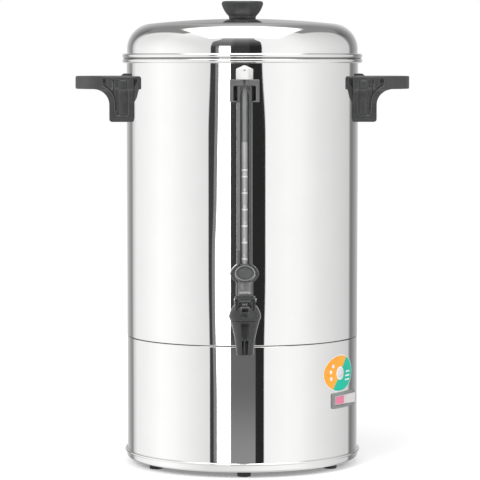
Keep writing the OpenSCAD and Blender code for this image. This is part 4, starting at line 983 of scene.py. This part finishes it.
def world():
    """A studio that only reflections show; the camera sees white, and diffuse light is even."""
    made = bpy.data.worlds.new("studio")
    bpy.context.scene.world = made
    made.use_nodes = True
    tree = made.node_tree
    tree.nodes.clear()
    s = Sums(tree)
    place = tree.nodes.new("ShaderNodeTexCoord")
    parts = tree.nodes.new("ShaderNodeSeparateXYZ")
    tree.links.new(place.outputs["Generated"], parts.inputs["Vector"])
    x, y, z = (parts.outputs[k] for k in "XYZ")
    # Degrees round and above the horizon, and where a direction meets a ceiling one unit up
    turn = s.times(s.do("ARCTAN2", x, s.times(y, -1)), 180 / math.pi)
    height = s.times(s.do("ARCSINE", z), 180 / math.pi)
    up = s.do("MAXIMUM", z, 0.02)
    over_x, over_y = s.do("ABSOLUTE", s.do("DIVIDE", x, up)), s.do("DIVIDE", y, up)

    ring = ramp(tree, s.do("MULTIPLY_ADD", turn, 1 / 360, 0.5),
                [(degrees / 360 + 0.5, (level, level, level)) for degrees, level in RING])
    studio = side_walls(s, ring, x, height)
    studio = back_wall(s, studio, ring, x, y, height, over_y)
    studio = softbox(s, studio, over_x, over_y)
    studio = front_opening(s, studio, turn, height)
    ground = s.mix(s.less(height, -75, -50), 0.84, 0.6)
    studio = s.mix(s.less(height, -46, -32), studio, ground)

    path = tree.nodes.new("ShaderNodeLightPath")
    seen = s.do("MAXIMUM", path.outputs["Is Camera Ray"], path.outputs["Is Transmission Ray"])
    level = s.mix(path.outputs["Is Glossy Ray"], DIFFUSE_LEVEL, studio)
    level = s.mix(seen, level, SEEN_LEVEL)
    back = tree.nodes.new("ShaderNodeBackground")
    back.inputs["Color"].default_value = (1, 1, 1, 1)
    tree.links.new(level, back.inputs["Strength"])
    out = tree.nodes.new("ShaderNodeOutputWorld")
    tree.links.new(back.outputs["Background"], out.inputs["Surface"])


def lamp(name, at, size, watts):
    """A square lamp that faces the middle of the urn."""
    light = bpy.data.lights.new(name, "AREA")
    light.shape = "RECTANGLE"
    light.size = light.size_y = size
    light.energy = watts
    obj = add_object(name, light)
    obj.location = at
    obj.rotation_euler = (LAMP_AIM - Vector(at)).to_track_quat("-Z", "Y").to_euler()
    obj.visible_glossy = False


floor()
world()
lamp("key_softbox", (-1.7, -2.5, 2.0), 1.9, 64)
lamp("top_softbox", (0.1, -0.5, 2.3), 1.6, 22)
lamp("fill_softbox", (2.4, -1.6, 1.2), 1.6, 18)

# Camera, fitted to the photograph: metres, and degrees to the side and down

DISTANCE, ASIDE, CAMERA_H = 2.9216, 0.0027, 0.4502
yaw, pitch = math.radians(0.85), math.radians(3.90)
camera = bpy.data.cameras.new("camera")
camera.lens, camera.sensor_width = 194.475, 36.0
camera.clip_start, camera.clip_end = 0.05, 60.0
view = add_object("camera", camera)
view.location = (-DISTANCE * math.sin(yaw) - ASIDE * math.cos(yaw),
                 -DISTANCE * math.cos(yaw) + ASIDE * math.sin(yaw), CAMERA_H)
view.rotation_euler = (math.radians(90) - pitch, 0, -yaw)
bpy.context.scene.camera = view
bpy.context.scene.view_settings.view_transform = "Standard"
